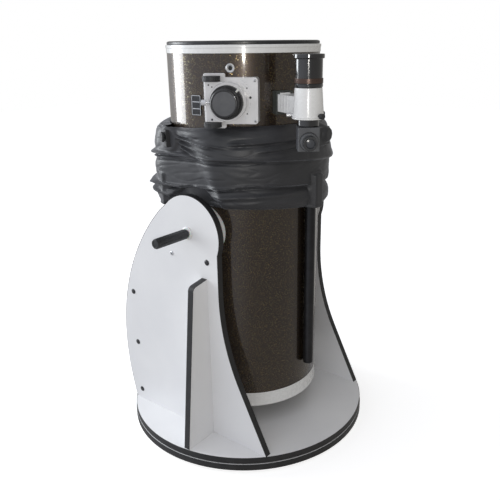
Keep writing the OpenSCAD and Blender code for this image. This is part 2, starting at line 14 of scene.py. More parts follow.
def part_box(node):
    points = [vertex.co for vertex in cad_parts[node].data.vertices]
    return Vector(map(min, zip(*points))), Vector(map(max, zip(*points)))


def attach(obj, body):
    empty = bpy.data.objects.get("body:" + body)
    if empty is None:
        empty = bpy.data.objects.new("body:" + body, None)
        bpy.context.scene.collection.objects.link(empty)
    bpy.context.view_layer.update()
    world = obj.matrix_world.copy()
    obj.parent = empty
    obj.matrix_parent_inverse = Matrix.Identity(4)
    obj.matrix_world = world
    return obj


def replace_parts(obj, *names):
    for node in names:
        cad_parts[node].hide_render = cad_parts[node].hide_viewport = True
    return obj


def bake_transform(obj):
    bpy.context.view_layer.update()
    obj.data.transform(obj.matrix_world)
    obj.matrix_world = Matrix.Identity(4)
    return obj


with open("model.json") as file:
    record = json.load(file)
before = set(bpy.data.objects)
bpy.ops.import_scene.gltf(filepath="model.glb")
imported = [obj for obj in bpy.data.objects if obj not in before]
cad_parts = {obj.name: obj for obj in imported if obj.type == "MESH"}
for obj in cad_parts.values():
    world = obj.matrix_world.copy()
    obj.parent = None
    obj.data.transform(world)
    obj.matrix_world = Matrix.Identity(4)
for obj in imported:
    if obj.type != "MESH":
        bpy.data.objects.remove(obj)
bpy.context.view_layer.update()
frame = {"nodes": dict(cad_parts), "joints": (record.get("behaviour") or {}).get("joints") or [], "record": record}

MM = 0.001
RECORD = frame["record"]
JOINT = {joint["name"]: joint for joint in frame["joints"]}
BODY_OF = {node: body for body, nodes in RECORD["behaviour"]["bodies"].items() for node in nodes}
SLOT_OF = {part["node"]: part["material_slot"] for part in RECORD["subparts"]}


# ---- Measures taken from the frame, in mm ----

def box(node):
    low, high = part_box(node)
    return low / MM, high / MM


def middle(node):
    low, high = box(node)
    return (low + high) / 2


def round_size(node):
    """Radius, height and lower end of a node that is round about an upright axis."""
    low, high = box(node)
    return (high.x - low.x) / 2, high.z - low.z, low.z


TUBE_Y = middle("lower_tube").y
TUBE_R = round_size("lower_tube")[0]
TUBE_AXIS = Vector((0, TUBE_Y, 0))
WALL = 1.5
ALTITUDE_Z = JOINT["altitude_tilt"]["pos_m"][2] / MM
BOARD_OUT = box("side_board_right")[1].x
FINDER = middle("finder_objective")


def angle_of(x, y):
    """Direction of a point around the tube, in degrees to the left of the open side."""
    return math.degrees(math.atan2(-x, -y))


FOCUSER_AXIS = Vector(JOINT["drawtube_slide"]["axis"])
FOCUSER_ANGLE = angle_of(FOCUSER_AXIS.x, FOCUSER_AXIS.y)
FOCUSER_Z = middle("drawtube").z
FINDER_ANGLE = angle_of(FINDER.x, FINDER.y - TUBE_Y)


# ---- Places, given in mm and degrees ----

def shift(x, y, z):
    return Matrix.Translation((x * MM, y * MM, z * MM))


def spin(degrees, axis="Z"):
    return Matrix.Rotation(math.radians(degrees), 4, axis)


def facing(angle, out, z):
    """Local X to the right, Y up and Z outwards from the tube's axis."""
    return shift(0, TUBE_Y, 0) @ spin(-angle) @ shift(0, -out, z) @ spin(90, "X")


def on_tube_axis(z):
    return shift(0, TUBE_Y, z)


def at_finder(z):
    return shift(FINDER.x, FINDER.y, z)


def sideways(side, x, y, z):
    """Local Z points away from the middle plane, to the right for side 1 and left for side -1."""
    return shift(side * x, y, z) @ spin(side * 90, "Y")


# ---- Camera, lights and floor ----

CAMERA_AT = Vector((-1.14676, -0.94474, 0.96715))
VIEW_ANGLE = angle_of(CAMERA_AT.x, CAMERA_AT.y - TUBE_Y * MM)


def make_camera(yaw=52.54, pitch=19.806, roll=-0.609):
    camera = bpy.data.objects.new("camera", bpy.data.cameras.new("camera"))
    bpy.context.scene.collection.objects.link(camera)
    flat = math.cos(math.radians(pitch))
    forward = Vector((
        math.sin(math.radians(yaw)) * flat,
        math.cos(math.radians(yaw)) * flat,
        -math.sin(math.radians(pitch)),
    ))
    camera.location = CAMERA_AT
    camera.rotation_mode = "QUATERNION"
    upright = forward.to_track_quat("-Z", "Y")
    camera.rotation_quaternion = upright @ Quaternion((0, 0, 1), math.radians(roll))
    camera.data.lens = 43.1
    camera.data.sensor_width = 36
    camera.data.shift_x = -0.0312
    camera.data.shift_y = 0.0173
    bpy.context.scene.camera = camera


def soft_box(name, angle, distance, z, width, height, power, colour, aim_z=0.6):
    """An area light around the tube, turned to its axis."""
    light = bpy.data.lights.new(name, "AREA")
    light.shape = "RECTANGLE"
    light.size = width
    light.size_y = height
    light.energy = power
    light.color = colour
    lamp = bpy.data.objects.new(name, light)
    bpy.context.scene.collection.objects.link(lamp)
    turn = math.radians(angle)
    lamp.location = (-math.sin(turn) * distance, TUBE_Y * MM - math.cos(turn) * distance, z)
    aim = Vector((0, TUBE_Y * MM, aim_z)) - lamp.location
    lamp.rotation_euler = aim.to_track_quat("-Z", "Y").to_euler()


def make_world():
    """A dim room with a lighter left side, and a white backdrop for the camera."""
    world = bpy.data.worlds.new("studio")
    bpy.context.scene.world = world
    world.use_nodes = True
    tree = world.node_tree
    room = tree.nodes["Background"]
    place = tree.nodes.new("ShaderNodeTexCoord")
    towards_light = vector_math(tree, "DOT_PRODUCT", place.outputs["Generated"], (-0.75, 0.45, 0.48))
    shades = ramp(tree, towards_light, (0.36, 0.35, 0.335), (0.80, 0.83, 0.90), 0.0, 0.9)
    tree.links.new(shades, room.inputs["Color"])
    backdrop = tree.nodes.new("ShaderNodeBackground")
    backdrop.inputs["Color"].default_value = (1, 1, 1, 1)
    rays = tree.nodes.new("ShaderNodeLightPath")
    choose = tree.nodes.new("ShaderNodeMixShader")
    tree.links.new(rays.outputs["Is Camera Ray"], choose.inputs["Fac"])
    tree.links.new(room.outputs["Background"], choose.inputs[1])
    tree.links.new(backdrop.outputs["Background"], choose.inputs[2])
    tree.links.new(choose.outputs["Shader"], tree.nodes["World Output"].inputs["Surface"])


def make_floor():
    mesh = bmesh.new()
    bmesh.ops.create_grid(mesh, x_segments=1, y_segments=1, size=8)
    data = bpy.data.meshes.new("studio_floor")
    mesh.to_mesh(data)
    mesh.free()
    floor = bpy.data.objects.new("studio_floor", data)
    bpy.context.scene.collection.objects.link(floor)
    paint, shader = painted("floor_paint", (0.86, 0.86, 0.86), 0.9)
    shader.inputs["Emission Color"].default_value = (1, 1, 1, 1)
    shader.inputs["Emission Strength"].default_value = 0.56
    data.materials.append(paint)
    floor.visible_diffuse = False
    floor.visible_glossy = False


# ---- Materials ----

def painted(name, colour, roughness, metallic=0.0, **fixed):
    """A Principled material. Fixed values are named as its sockets are, with _ for a space."""
    material = bpy.data.materials.new(name)
    material.use_nodes = True
    shader = material.node_tree.nodes["Principled BSDF"]
    shader.inputs["Base Color"].default_value = (*colour, 1)
    shader.inputs["Roughness"].default_value = roughness
    shader.inputs["Metallic"].default_value = metallic
    for socket, value in fixed.items():
        shader.inputs[socket.replace("_", " ")].default_value = value
    return material, shader


def surface_place(tree, stretch=(1, 1, 1)):
    """Coordinates in metres that move with the piece."""
    place = tree.nodes.new("ShaderNodeTexCoord")
    scaled = tree.nodes.new("ShaderNodeMapping")
    scaled.inputs["Scale"].default_value = stretch
    tree.links.new(place.outputs["Object"], scaled.inputs["Vector"])
    return scaled.outputs["Vector"]


def mottle(tree, scale, detail=3.0, stretch=(1, 1, 1)):
    grain = tree.nodes.new("ShaderNodeTexNoise")
    grain.inputs["Scale"].default_value = scale
    grain.inputs["Detail"].default_value = detail
    tree.links.new(surface_place(tree, stretch), grain.inputs["Vector"])
    return grain.outputs["Fac"]


def vector_math(tree, how, *values):
    """Vector arithmetic on sockets, plain vectors and, to scale, a number."""
    step = tree.nodes.new("ShaderNodeVectorMath")
    step.operation = how
    for k, value in enumerate(values):
        socket = step.inputs["Scale"] if isinstance(value, float) else step.inputs[k]
        if isinstance(value, (tuple, float)):
            socket.default_value = value
        else:
            tree.links.new(value, socket)
    return step.outputs["Value" if how == "DOT_PRODUCT" else "Vector"]


def ramp(tree, value, low, high, start=0.35, end=0.65):
    """Turns a value into shades between two colours, or two grey levels."""
    shades = tree.nodes.new("ShaderNodeValToRGB")
    for stop, place, shade in zip(shades.color_ramp.elements, (start, end), (low, high)):
        stop.position = place
        stop.color = (*shade, 1) if isinstance(shade, tuple) else (shade, shade, shade, 1)
    tree.links.new(value, shades.inputs["Fac"])
    return shades.outputs["Color"]


def combine(tree, how, first, second, amount=1.0):
    """Mixes two colours. Either may be a socket or a plain colour."""
    mix = tree.nodes.new("ShaderNodeMix")
    mix.data_type = "RGBA"
    mix.blend_type = how
    if isinstance(amount, float):
        mix.inputs["Factor"].default_value = amount
    else:
        tree.links.new(amount, mix.inputs["Factor"])
    for socket, value in ((mix.inputs["A"], first), (mix.inputs["B"], second)):
        if isinstance(value, tuple):
            socket.default_value = (*value, 1)
        else:
            tree.links.new(value, socket)
    return mix.outputs["Result"]


def bumped(tree, shader, height, strength, depth):
    bump = tree.nodes.new("ShaderNodeBump")
    bump.inputs["Strength"].default_value = strength
    bump.inputs["Distance"].default_value = depth
    tree.links.new(height, bump.inputs["Height"])
    tree.links.new(bump.outputs["Normal"], shader.inputs["Normal"])


def grained(name, low, high, rough, metallic=0, scale=300, depth=0.05, stretch=(1, 1, 1), coat=None):
    """The common finish: two close shades, a roughness that varies, and a fine grain."""
    material, shader = painted(name, low, rough[0], metallic, **(coat or {}))
    tree = material.node_tree
    cloud = mottle(tree, scale / 12, 4.0)
    fine = mottle(tree, scale, 5.0, stretch)
    tree.links.new(ramp(tree, cloud, low, high), shader.inputs["Base Color"])
    tree.links.new(ramp(tree, fine, rough[0], rough[1]), shader.inputs["Roughness"])
    bumped(tree, shader, fine, 0.35, depth * MM)
    return material


def flake_paint():
    """Dark bronze base with small leaning gold flakes under a clear coat."""
    material, shader = painted(
        "tube_flake", (0.05, 0.03, 0.022), 0.4, 0.7, Coat_Weight=1.0, Coat_Roughness=0.08, Coat_IOR=1.5
    )
    tree = material.node_tree
    cells = tree.nodes.new("ShaderNodeTexVoronoi")
    cells.inputs["Scale"].default_value = 760
    tree.links.new(surface_place(tree), cells.inputs["Vector"])
    parts = tree.nodes.new("ShaderNodeSeparateColor")
    tree.links.new(cells.outputs["Color"], parts.inputs["Color"])
    base = ramp(tree, mottle(tree, 9, 3.0), (0.033, 0.021, 0.015), (0.042, 0.028, 0.020))
    flake = ramp(tree, parts.outputs["Green"], (0.15, 0.095, 0.034), (0.105, 0.095, 0.042), 0.3, 0.7)
    here = ramp(tree, parts.outputs["Red"], 0.0, 1.0, 0.84, 0.88)
    rough = combine(tree, "MIX", (0.31, 0.31, 0.31), (0.19, 0.19, 0.19), here)
    tree.links.new(combine(tree, "MIX", base, flake, here), shader.inputs["Base Color"])
    tree.links.new(rough, shader.inputs["Roughness"])
    lean = vector_math(tree, "SUBTRACT", cells.outputs["Color"], (0.5, 0.5, 0.5))
    tilt = vector_math(tree, "SCALE", vector_math(tree, "MULTIPLY", lean, here), 0.30)
    outward = tree.nodes.new("ShaderNodeNewGeometry").outputs["Normal"]
    tipped = vector_math(tree, "NORMALIZE", vector_math(tree, "ADD", outward, tilt))
    tree.links.new(tipped, shader.inputs["Normal"])
    return material


def laminate():
    """White melamine: faint cool and warm clouds, tiny specks and an orange peel."""
    material, shader = painted(
        "laminate_white", (0.80, 0.80, 0.81), 0.36, Coat_Weight=0.15, Coat_Roughness=0.3
    )
    tree = material.node_tree
    cloud = ramp(tree, mottle(tree, 7, 4.0), (0.775, 0.775, 0.785), (0.815, 0.815, 0.82))
    specks = ramp(tree, mottle(tree, 900, 2.0), (0.90, 0.89, 0.88), (1.0, 1.0, 1.0), 0.24, 0.30)
    tree.links.new(combine(tree, "MULTIPLY", cloud, specks), shader.inputs["Base Color"])
    peel = mottle(tree, 260, 3.0)
    tree.links.new(ramp(tree, peel, 0.30, 0.42), shader.inputs["Roughness"])
    bumped(tree, shader, peel, 0.25, 0.06 * MM)
    return material


def knit_cloth():
    """Stretch knit: fine courses, a soft sheen and slightly faded folds."""
    material, shader = painted(
        "shroud_knit", (0.028, 0.028, 0.032), 0.6, Sheen_Weight=0.28, Sheen_Roughness=0.34,
        Sheen_Tint=(0.75, 0.78, 0.86, 1), Specular_IOR_Level=0.55
    )
    tree = material.node_tree
    cloud = mottle(tree, 14, 4.0)
    shades = ramp(tree, cloud, (0.025, 0.026, 0.029), (0.034, 0.034, 0.038))
    tree.links.new(shades, shader.inputs["Base Color"])
    courses = tree.nodes.new("ShaderNodeTexWave")
    courses.wave_type = "BANDS"
    courses.bands_direction = "Z"
    courses.inputs["Scale"].default_value = 210
    courses.inputs["Distortion"].default_value = 1.2
    courses.inputs["Detail"].default_value = 2.0
    tree.links.new(surface_place(tree), courses.inputs["Vector"])
    wales = mottle(tree, 1400, 2.0, (1, 1, 0.35))
    weave = combine(tree, "MULTIPLY", courses.outputs["Color"], ramp(tree, wales, 0.5, 1.0))
    tree.links.new(ramp(tree, cloud, 0.42, 0.54), shader.inputs["Roughness"])
    bumped(tree, shader, weave, 0.22, 0.25 * MM)
    return material


def clear_glass():
    """Coated crown glass with a faint dust film."""
    material, shader = painted(
        "lens_glass", (0.96, 0.98, 0.97), 0.02, IOR=1.52, Transmission_Weight=1.0,
        Coat_Weight=0.6, Coat_Roughness=0.02, Coat_Tint=(0.55, 0.85, 0.65, 1)
    )
    tree = material.node_tree
    dust = mottle(tree, 500, 4.0)
    tree.links.new(ramp(tree, dust, 0.015, 0.06, 0.5, 0.8), shader.inputs["Roughness"])
    return material


def mirror_coat():
    """Aluminised glass with a faint haze."""
    material, shader = painted("mirror_coat", (0.90, 0.91, 0.92), 0.02, 1.0)
    tree = material.node_tree
    haze = mottle(tree, 40, 5.0)
    tree.links.new(ramp(tree, haze, (0.88, 0.89, 0.90), (0.93, 0.94, 0.94)), shader.inputs["Base Color"])
    tree.links.new(ramp(tree, haze, 0.012, 0.05), shader.inputs["Roughness"])
    return material


SOAKS_LIGHT = {"Subsurface_Weight": 0.2, "Subsurface_Scale": 0.002}
SOAKS_LESS = {"Subsurface_Weight": 0.15, "Subsurface_Scale": 0.002}
ENAMEL_COAT = {"Coat_Weight": 0.5, "Coat_Roughness": 0.08}
PEARL_COAT = {"Coat_Weight": 0.3, "Coat_Roughness": 0.12}
GLOSS_COAT = {"Coat_Weight": 0.8, "Coat_Roughness": 0.04}

# Stretches of the grain: by 1 in every direction, or drawn out along the piece's local Z
EVEN = (1, 1, 1)
ALONG_Z = (1, 1, 0.05)
TURNED = (1, 1, 0.1)
ROLLED = (1, 1, 0.2)

# For each slot: a name, two shades, two roughnesses, then how metallic it is, the grain's scale, its depth
# in mm, its stretch, and a coat.
FINISHES = {
    "edge_band": (
        "band_black", (0.012, 0.012, 0.013), (0.020, 0.020, 0.021), (0.38, 0.55), 0, 500),
    "foot_rubber": (
        "rubber_grey", (0.020, 0.020, 0.020), (0.032, 0.032, 0.031), (0.7, 0.9), 0, 700),
    "roller_nylon": (
        "nylon_natural", (0.62, 0.60, 0.54), (0.68, 0.66, 0.60), (0.35, 0.5), 0, 300, 0.05, EVEN,
        SOAKS_LIGHT),
    "zinc_steel": (
        "zinc_plate", (0.55, 0.56, 0.58), (0.66, 0.66, 0.66), (0.22, 0.40), 1, 600, 0.03, ROLLED),
    "white_nylon": (
        "nylon_white", (0.76, 0.76, 0.75), (0.81, 0.81, 0.80), (0.30, 0.45), 0, 300, 0.05, EVEN,
        SOAKS_LESS),
    "cap_plastic": (
        "moulded_black", (0.016, 0.016, 0.018), (0.024, 0.024, 0.026), (0.26, 0.42), 0, 380),
    "inside_black": (
        "dull_black", (0.010, 0.010, 0.010), (0.018, 0.018, 0.018), (0.8, 0.95), 0, 500),
    "white_paint": (
        "enamel_white", (0.80, 0.80, 0.79), (0.84, 0.84, 0.83), (0.22, 0.32), 0, 120, 0.004, EVEN,
        ENAMEL_COAT),
    "cell_alloy": (
        "cast_black", (0.018, 0.018, 0.020), (0.030, 0.030, 0.032), (0.42, 0.62), 0.3, 420, 0.15),
    "strut_alloy": (
        "anodised_black", (0.016, 0.016, 0.018), (0.026, 0.026, 0.029), (0.25, 0.38), 0.5, 400, 0.03,
        ALONG_Z),
    "block_alloy": (
        "block_white", (0.72, 0.72, 0.71), (0.78, 0.78, 0.77), (0.35, 0.5), 0, 320),
    "black_alloy": (
        "satin_black", (0.014, 0.014, 0.015), (0.024, 0.024, 0.026), (0.34, 0.5), 0.3, 450),
    "knob_plastic": (
        "knob_black", (0.014, 0.015, 0.017), (0.026, 0.027, 0.030), (0.32, 0.5), 0, 650),
    "focuser_alloy": (
        "pearl_white", (0.66, 0.655, 0.665), (0.74, 0.735, 0.74), (0.30, 0.44), 0.25, 420, 0.06, EVEN,
        PEARL_COAT),
    "bright_alloy": (
        "turned_alloy", (0.70, 0.70, 0.71), (0.78, 0.78, 0.79), (0.16, 0.30), 1, 500, 0.02, TURNED),
    "finder_gloss": (
        "gloss_black", (0.010, 0.010, 0.011), (0.016, 0.016, 0.018), (0.10, 0.18), 0, 200, 0.05, EVEN,
        GLOSS_COAT),
    "diagonal_plastic": (
        "moulded_grey", (0.082, 0.085, 0.092), (0.100, 0.103, 0.110), (0.42, 0.58), 0, 800),
    "bronze": (
        "band_bronze", (0.085, 0.055, 0.045), (0.115, 0.078, 0.062), (0.26, 0.36), 0.7, 300),
    "shoe": (
        "anodised_grey", (0.050, 0.056, 0.050), (0.066, 0.072, 0.066), (0.4, 0.55), 0.2, 420),
    "eye_glass": (
        "coated_eye_lens", (0.060, 0.064, 0.072), (0.075, 0.080, 0.088), (0.10, 0.2), 0, 90),
    "label": (
        "label_black", (0.012, 0.013, 0.015), (0.020, 0.021, 0.024), (0.25, 0.4), 0, 300),
}


def make_materials():
    """One finish for each slot of the record, and a few for details."""
    materials = {slot: grained(*finish) for slot, finish in FINISHES.items()}
    materials["laminate"] = laminate()
    materials["tube_paint"] = flake_paint()
    materials["mirror_coat"] = mirror_coat()
    materials["lens_glass"] = clear_glass()
    materials["shroud_cloth"] = knit_cloth()
    return materials


# ---- Building pieces ----

def finish_piece(piece, like, material=None, blended=False):
    """Gives a piece its shading and the material of the node that it is like, and, unless it is blended, that
    node's body.
    """
    piece.data.shade_smooth()
    piece.data.set_sharp_from_angle(angle=math.radians(32))
    piece.data.materials.clear()
    piece.data.materials.append(MATERIALS[material or SLOT_OF[like]])
    if not blended:
        even = piece.modifiers.new("even_normals", "WEIGHTED_NORMAL")
        even.keep_sharp = True
        apply_modifiers(piece)
    if not blended:
        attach(piece, BODY_OF[like])


def from_bmesh(name, mesh, place=None):
    """Turns a bmesh into an object whose own frame is the model's."""
    bmesh.ops.remove_doubles(mesh, verts=mesh.verts, dist=1e-6)
    loose = [edge for edge in mesh.edges if not edge.link_faces]
    bmesh.ops.delete(mesh, geom=loose, context="EDGES")
    if place is not None:
        mesh.transform(place)
    bmesh.ops.recalc_face_normals(mesh, faces=mesh.faces)
    data = bpy.data.meshes.new(name)
    mesh.to_mesh(data)
    mesh.free()
    piece = bpy.data.objects.new(name, data)
    bpy.context.scene.collection.objects.link(piece)
    return piece


def apply_modifiers(piece):
    depsgraph = bpy.context.evaluated_depsgraph_get()
    data = bpy.data.meshes.new_from_object(piece.evaluated_get(depsgraph))
    piece.modifiers.clear()
    piece.data = data
    piece.data.name = piece.name


def bevel(piece, width, segments=3, angle=30):
    """Rounds the edges that turn by more than an angle."""
    edge = piece.modifiers.new("rounding", "BEVEL")
    edge.width = width * MM
    edge.segments = segments
    edge.limit_method = "ANGLE"
    edge.angle_limit = math.radians(angle)
    edge.use_clamp_overlap = False
    apply_modifiers(piece)


def refined(node, width, segments=3, material=None):
    """A CAD node's surface with its edges rounded, in place of the node."""
    mesh = bmesh.new()
    mesh.from_mesh(frame["nodes"][node].data)
    bmesh.ops.remove_doubles(mesh, verts=mesh.verts, dist=1e-6)
    bmesh.ops.dissolve_limit(mesh, angle_limit=math.radians(0.4), verts=mesh.verts, edges=mesh.edges)
    piece = from_bmesh("fine_" + node, mesh)
    bevel(piece, width, segments)
    finish_piece(piece, node, material)
    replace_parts(piece, node)
    return piece


def refine_all(segments, **widths):
    """Rounds the edges of several CAD nodes, each by its own width."""
    for node, width in widths.items():
        refined(node, width, segments)


def rounded(points, radius, steps=4):
    """A closed outline with rounded corners. A point's third value is its own radius."""
    outline = []
    for i, point in enumerate(points):
        corner = Vector(point[:2])
        back = Vector(points[i - 1][:2]) - corner
        ahead = Vector(points[(i + 1) % len(points)][:2]) - corner
        size = point[2] if len(point) > 2 else radius
        half = back.angle(ahead) / 2
        if size == 0 or half > math.radians(88):
            outline.append(corner)
            continue
        reach = min(size / math.tan(half), 0.48 * back.length, 0.48 * ahead.length)
        start = corner + back.normalized() * reach
        end = corner + ahead.normalized() * reach
        for k in range(steps + 1):
            t = k / steps
            outline.append(start * (1 - t) ** 2 + corner * (2 * t * (1 - t)) + end * t ** 2)
    return outline


def vertex(mesh, x, y, z):
    return mesh.verts.new((x * MM, y * MM, z * MM))


def skin(mesh, rings):
    """Fills the bands between rings that have as many points."""
    for ring, following in zip(rings, rings[1:]):
        for k in range(len(ring)):
            n = (k + 1) % len(ring)
            mesh.faces.new((ring[k], ring[n], following[n], following[k]))


def lathe(name, outline, place, like, segments=128, material=None):
    """Turns a closed (radius, height) outline about local Z."""
    mesh = bmesh.new()
    turns = [2 * math.pi * k / segments for k in range(segments)]
    rings = [
        [vertex(mesh, radius * math.cos(t), radius * math.sin(t), height) for t in turns]
        for radius, height in outline
    ]
    for k in range(len(outline)):
        n = (k + 1) % len(outline)
        if max(outline[k][0], outline[n][0]) > 0:
            skin(mesh, [rings[k], rings[n]])
    piece = from_bmesh(name, mesh, place)
    finish_piece(piece, like, material)
    return piece


def turned(node, outline, place, segments=256):
    """A round piece in place of a CAD node."""
    piece = lathe("fine_" + node, outline, place, node, segments)
    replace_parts(piece, node)
    return piece


def prism(name, outline, depth, place, like, width=0.0, material=None):
    """Raises a closed (x, y) outline along local Z, with its edges rounded."""
    mesh = bmesh.new()
    floor = [vertex(mesh, x, y, 0) for x, y in outline]
    face = mesh.faces.new(floor)
    raised = bmesh.ops.extrude_face_region(mesh, geom=[face])
    lifted = [item for item in raised["geom"] if isinstance(item, bmesh.types.BMVert)]
    bmesh.ops.translate(mesh, verts=lifted, vec=(0, 0, depth * MM))
    piece = from_bmesh(name, mesh, place)
    if width:
        bevel(piece, width, 3, 40)
    finish_piece(piece, like, material)
    return piece


def box_outline(width, height, radius, centre=(0, 0)):
    x, y = centre
    w, h = width / 2, height / 2
    return rounded([(x - w, y - h), (x + w, y - h), (x + w, y + h), (x - w, y + h)], radius)


# ---- Base and rocker box ----

def make_base():
    refine_all(
        2, ground_board=0.25, base_disc=0.25, side_board_left=0.25, side_board_right=0.25,
        gusset_left=0.25, gusset_right=0.25, front_board=0.25,
        ground_edge_band=0.35, base_edge_band=0.35, board_edge_bands=0.35
    )
    refine_all(3, feet=1.4, pivot_bolt=0.5, pivot_bush=0.4, pivot_nut=0.6, altitude_posts=0.8)
    make_screw_caps()
    make_post_screws()


def make_screw_caps():
    """Domed plastic caps with a thin rim against the board."""
    pieces = []
    for i, (low, high) in enumerate(solid_boxes("screw_caps")):
        centre = (low + high) / 2
        radius = (high.z - low.z) / 2
        side = 1 if centre.x > 0 else -1
        tall = high.x - low.x
        outline = rounded([
            (0, 0, 0), (radius, 0, 0), (radius, 0.3 * tall, 0.5), (0.82 * radius, 0.5 * tall, 0.5),
            (0.6 * radius, 0.95 * tall, 3), (0, tall, 0)
        ], 0)
        place = sideways(side, BOARD_OUT, centre.y, centre.z)
        pieces.append(lathe("screw_cap_%d" % (i + 1), outline, place, "screw_caps", 48))
    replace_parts(join(pieces, "fine_screw_caps"), "screw_caps")


def make_post_screws():
    """Cross-head screws: those at the back show, those at the front sit under caps."""
    pieces = []
    for i, (low, high) in enumerate(solid_boxes("post_screws")):
        centre = (low + high) / 2
        side = 1 if centre.x > 0 else -1
        inner = min(abs(low.x), abs(high.x))
        outer = max(abs(low.x), abs(high.x))
        shown = outer - BOARD_OUT > 1
        shank = 3
        head = (high.z - low.z) / 2 if shown else shank
        dome = outer - BOARD_OUT if shown else 0.2
        grip = BOARD_OUT - inner
        outline = [(0, 0), (shank, 0), (shank, grip), (head, grip)]
        outline += domed(head, grip + 0.35 * dome, 0.65 * dome) + [(0, grip + dome)]
        place = sideways(side, inner, centre.y, centre.z)
        pieces.append(lathe("post_screw_%d" % (i + 1), outline, place, "post_screws", 48))
        if shown:
            top = sideways(side, outer - 0.45, centre.y, centre.z) @ spin(20)
            # The dark cross on a shown head is painted shade, not a cut recess.
            pieces += painted_cross_shade(top, "post_screws", box_outline(5.6, 1.1, 0.3), 0.5)
    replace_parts(join(pieces, "fine_post_screws"), "post_screws")


def domed(radius, foot, rise):
    """Outline of a domed screw head, from its edge towards its middle."""
    turns = [math.radians(step) for step in range(0, 90, 15)]
    return [(radius * math.cos(t), foot + rise * math.sin(t)) for t in turns]


def painted_cross_shade(place, like, bar, depth):
    """Two dark bars that cross on a screw head: painted shade in place of the cross recess, which is not cut."""
    return [
        prism("slot_%d" % k, bar, depth, place @ spin(90 * k), like, material="black_alloy")
        for k in range(2)
    ]


def solid_boxes(node):
    """The box of each separate solid of a CAD node."""
    mesh = bmesh.new()
    mesh.from_mesh(frame["nodes"][node].data)
    bmesh.ops.remove_doubles(mesh, verts=mesh.verts, dist=1e-6)
    seen = set()
    boxes = []
    for start in mesh.verts:
        if start in seen:
            continue
        group = [start]
        seen.add(start)
        for vert in group:
            for edge in vert.link_edges:
                other = edge.other_vert(vert)
                if other not in seen:
                    seen.add(other)
                    group.append(other)
        low = Vector([min(v.co[k] for v in group) for k in range(3)])
        high = Vector([max(v.co[k] for v in group) for k in range(3)])
        boxes.append((low / MM, high / MM))
    mesh.free()
    return boxes


def join(pieces, name):
    """Joins pieces of one body into one object and keeps their materials."""
    first = pieces[0]
    mesh = bmesh.new()
    data = bpy.data.meshes.new(name)
    for piece in pieces:
        for material in piece.data.materials:
            if material.name not in data.materials:
                data.materials.append(material)
        slot = list(data.materials).index(piece.data.materials[0])
        start = len(mesh.faces)
        mesh.from_mesh(piece.data)
        mesh.faces.ensure_lookup_table()
        for face in mesh.faces[start:]:
            face.material_index = slot
    mesh.to_mesh(data)
    mesh.free()
    first.data = data
    first.name = name
    for piece in pieces[1:]:
        bpy.data.objects.remove(piece)
    return first


# ---- Lower tube ----

def make_rolled_tube(node):
    """Tube of rolled sheet steel, painted outside and dull black inside."""
    radius, tall, bottom = round_size(node)
    outline = rounded([(radius - WALL, 0), (radius, 0), (radius, tall), (radius - WALL, tall)], 0.4)
    tube = turned(node, outline, on_tube_axis(bottom))
    tube.data.materials.append(MATERIALS["inside_black"])
    for face in tube.data.polygons:
        if (face.center / MM - TUBE_AXIS).xy.length < radius - WALL + 0.2:
            face.material_index = 1


def make_lower_tube():
    make_rolled_tube("lower_tube")
    make_bottom_ring()
    make_top_collar()
    refine_all(
        3, altitude_bearings=1.2, strut_clamps=1.5, mirror_cell=0.8, mirror_carrier=0.8, mirror_clips=0.8,
        collimation_screws=0.5, lock_knob_front=0.6, lock_knob_left=0.6, lock_knob_right=0.6,
        primary_mirror=0.8
    )
    for side, node in ((-1, "handle_left"), (1, "handle_right")):
        make_handle(side, node)


def make_bottom_ring():
    """White end ring: a rolled foot, a plain band and a bead at its upper edge."""
    outer, tall, bottom = round_size("bottom_ring")
    outline = rounded([
        (TUBE_R - 10, 0, 1), (outer - 1, 0, 3), (outer, 3, 1),
        (outer, 6, 0.6), (outer - 0.7, 7, 0.6), (outer - 0.7, tall - 5, 0.6),
        (outer, tall - 4, 0.6), (outer, tall, 0.8), (TUBE_R + 0.1, tall, 0.2),
        (TUBE_R + 0.1, 3, 0), (TUBE_R - 10, 3, 0.8)
    ], 0.4)
    turned("bottom_ring", outline, on_tube_axis(bottom))


def make_top_collar():
    """Black collar that closes the top edge of the lower tube."""
    outer, tall, bottom = round_size("tube_top_ring")
    outline = rounded([
        (TUBE_R + 0.1, 0, 0.3), (outer, 0, 0.4), (outer, tall, 1.4),
        (TUBE_R - 5, tall, 1.4), (TUBE_R - 5, 0, 0.4), (TUBE_R - 1.6, 0, 0.3),
        (TUBE_R - 1.6, tall - 3, 0), (TUBE_R + 0.1, tall - 3, 0)
    ], 0.4)
    turned("tube_top_ring", outline, on_tube_axis(bottom))


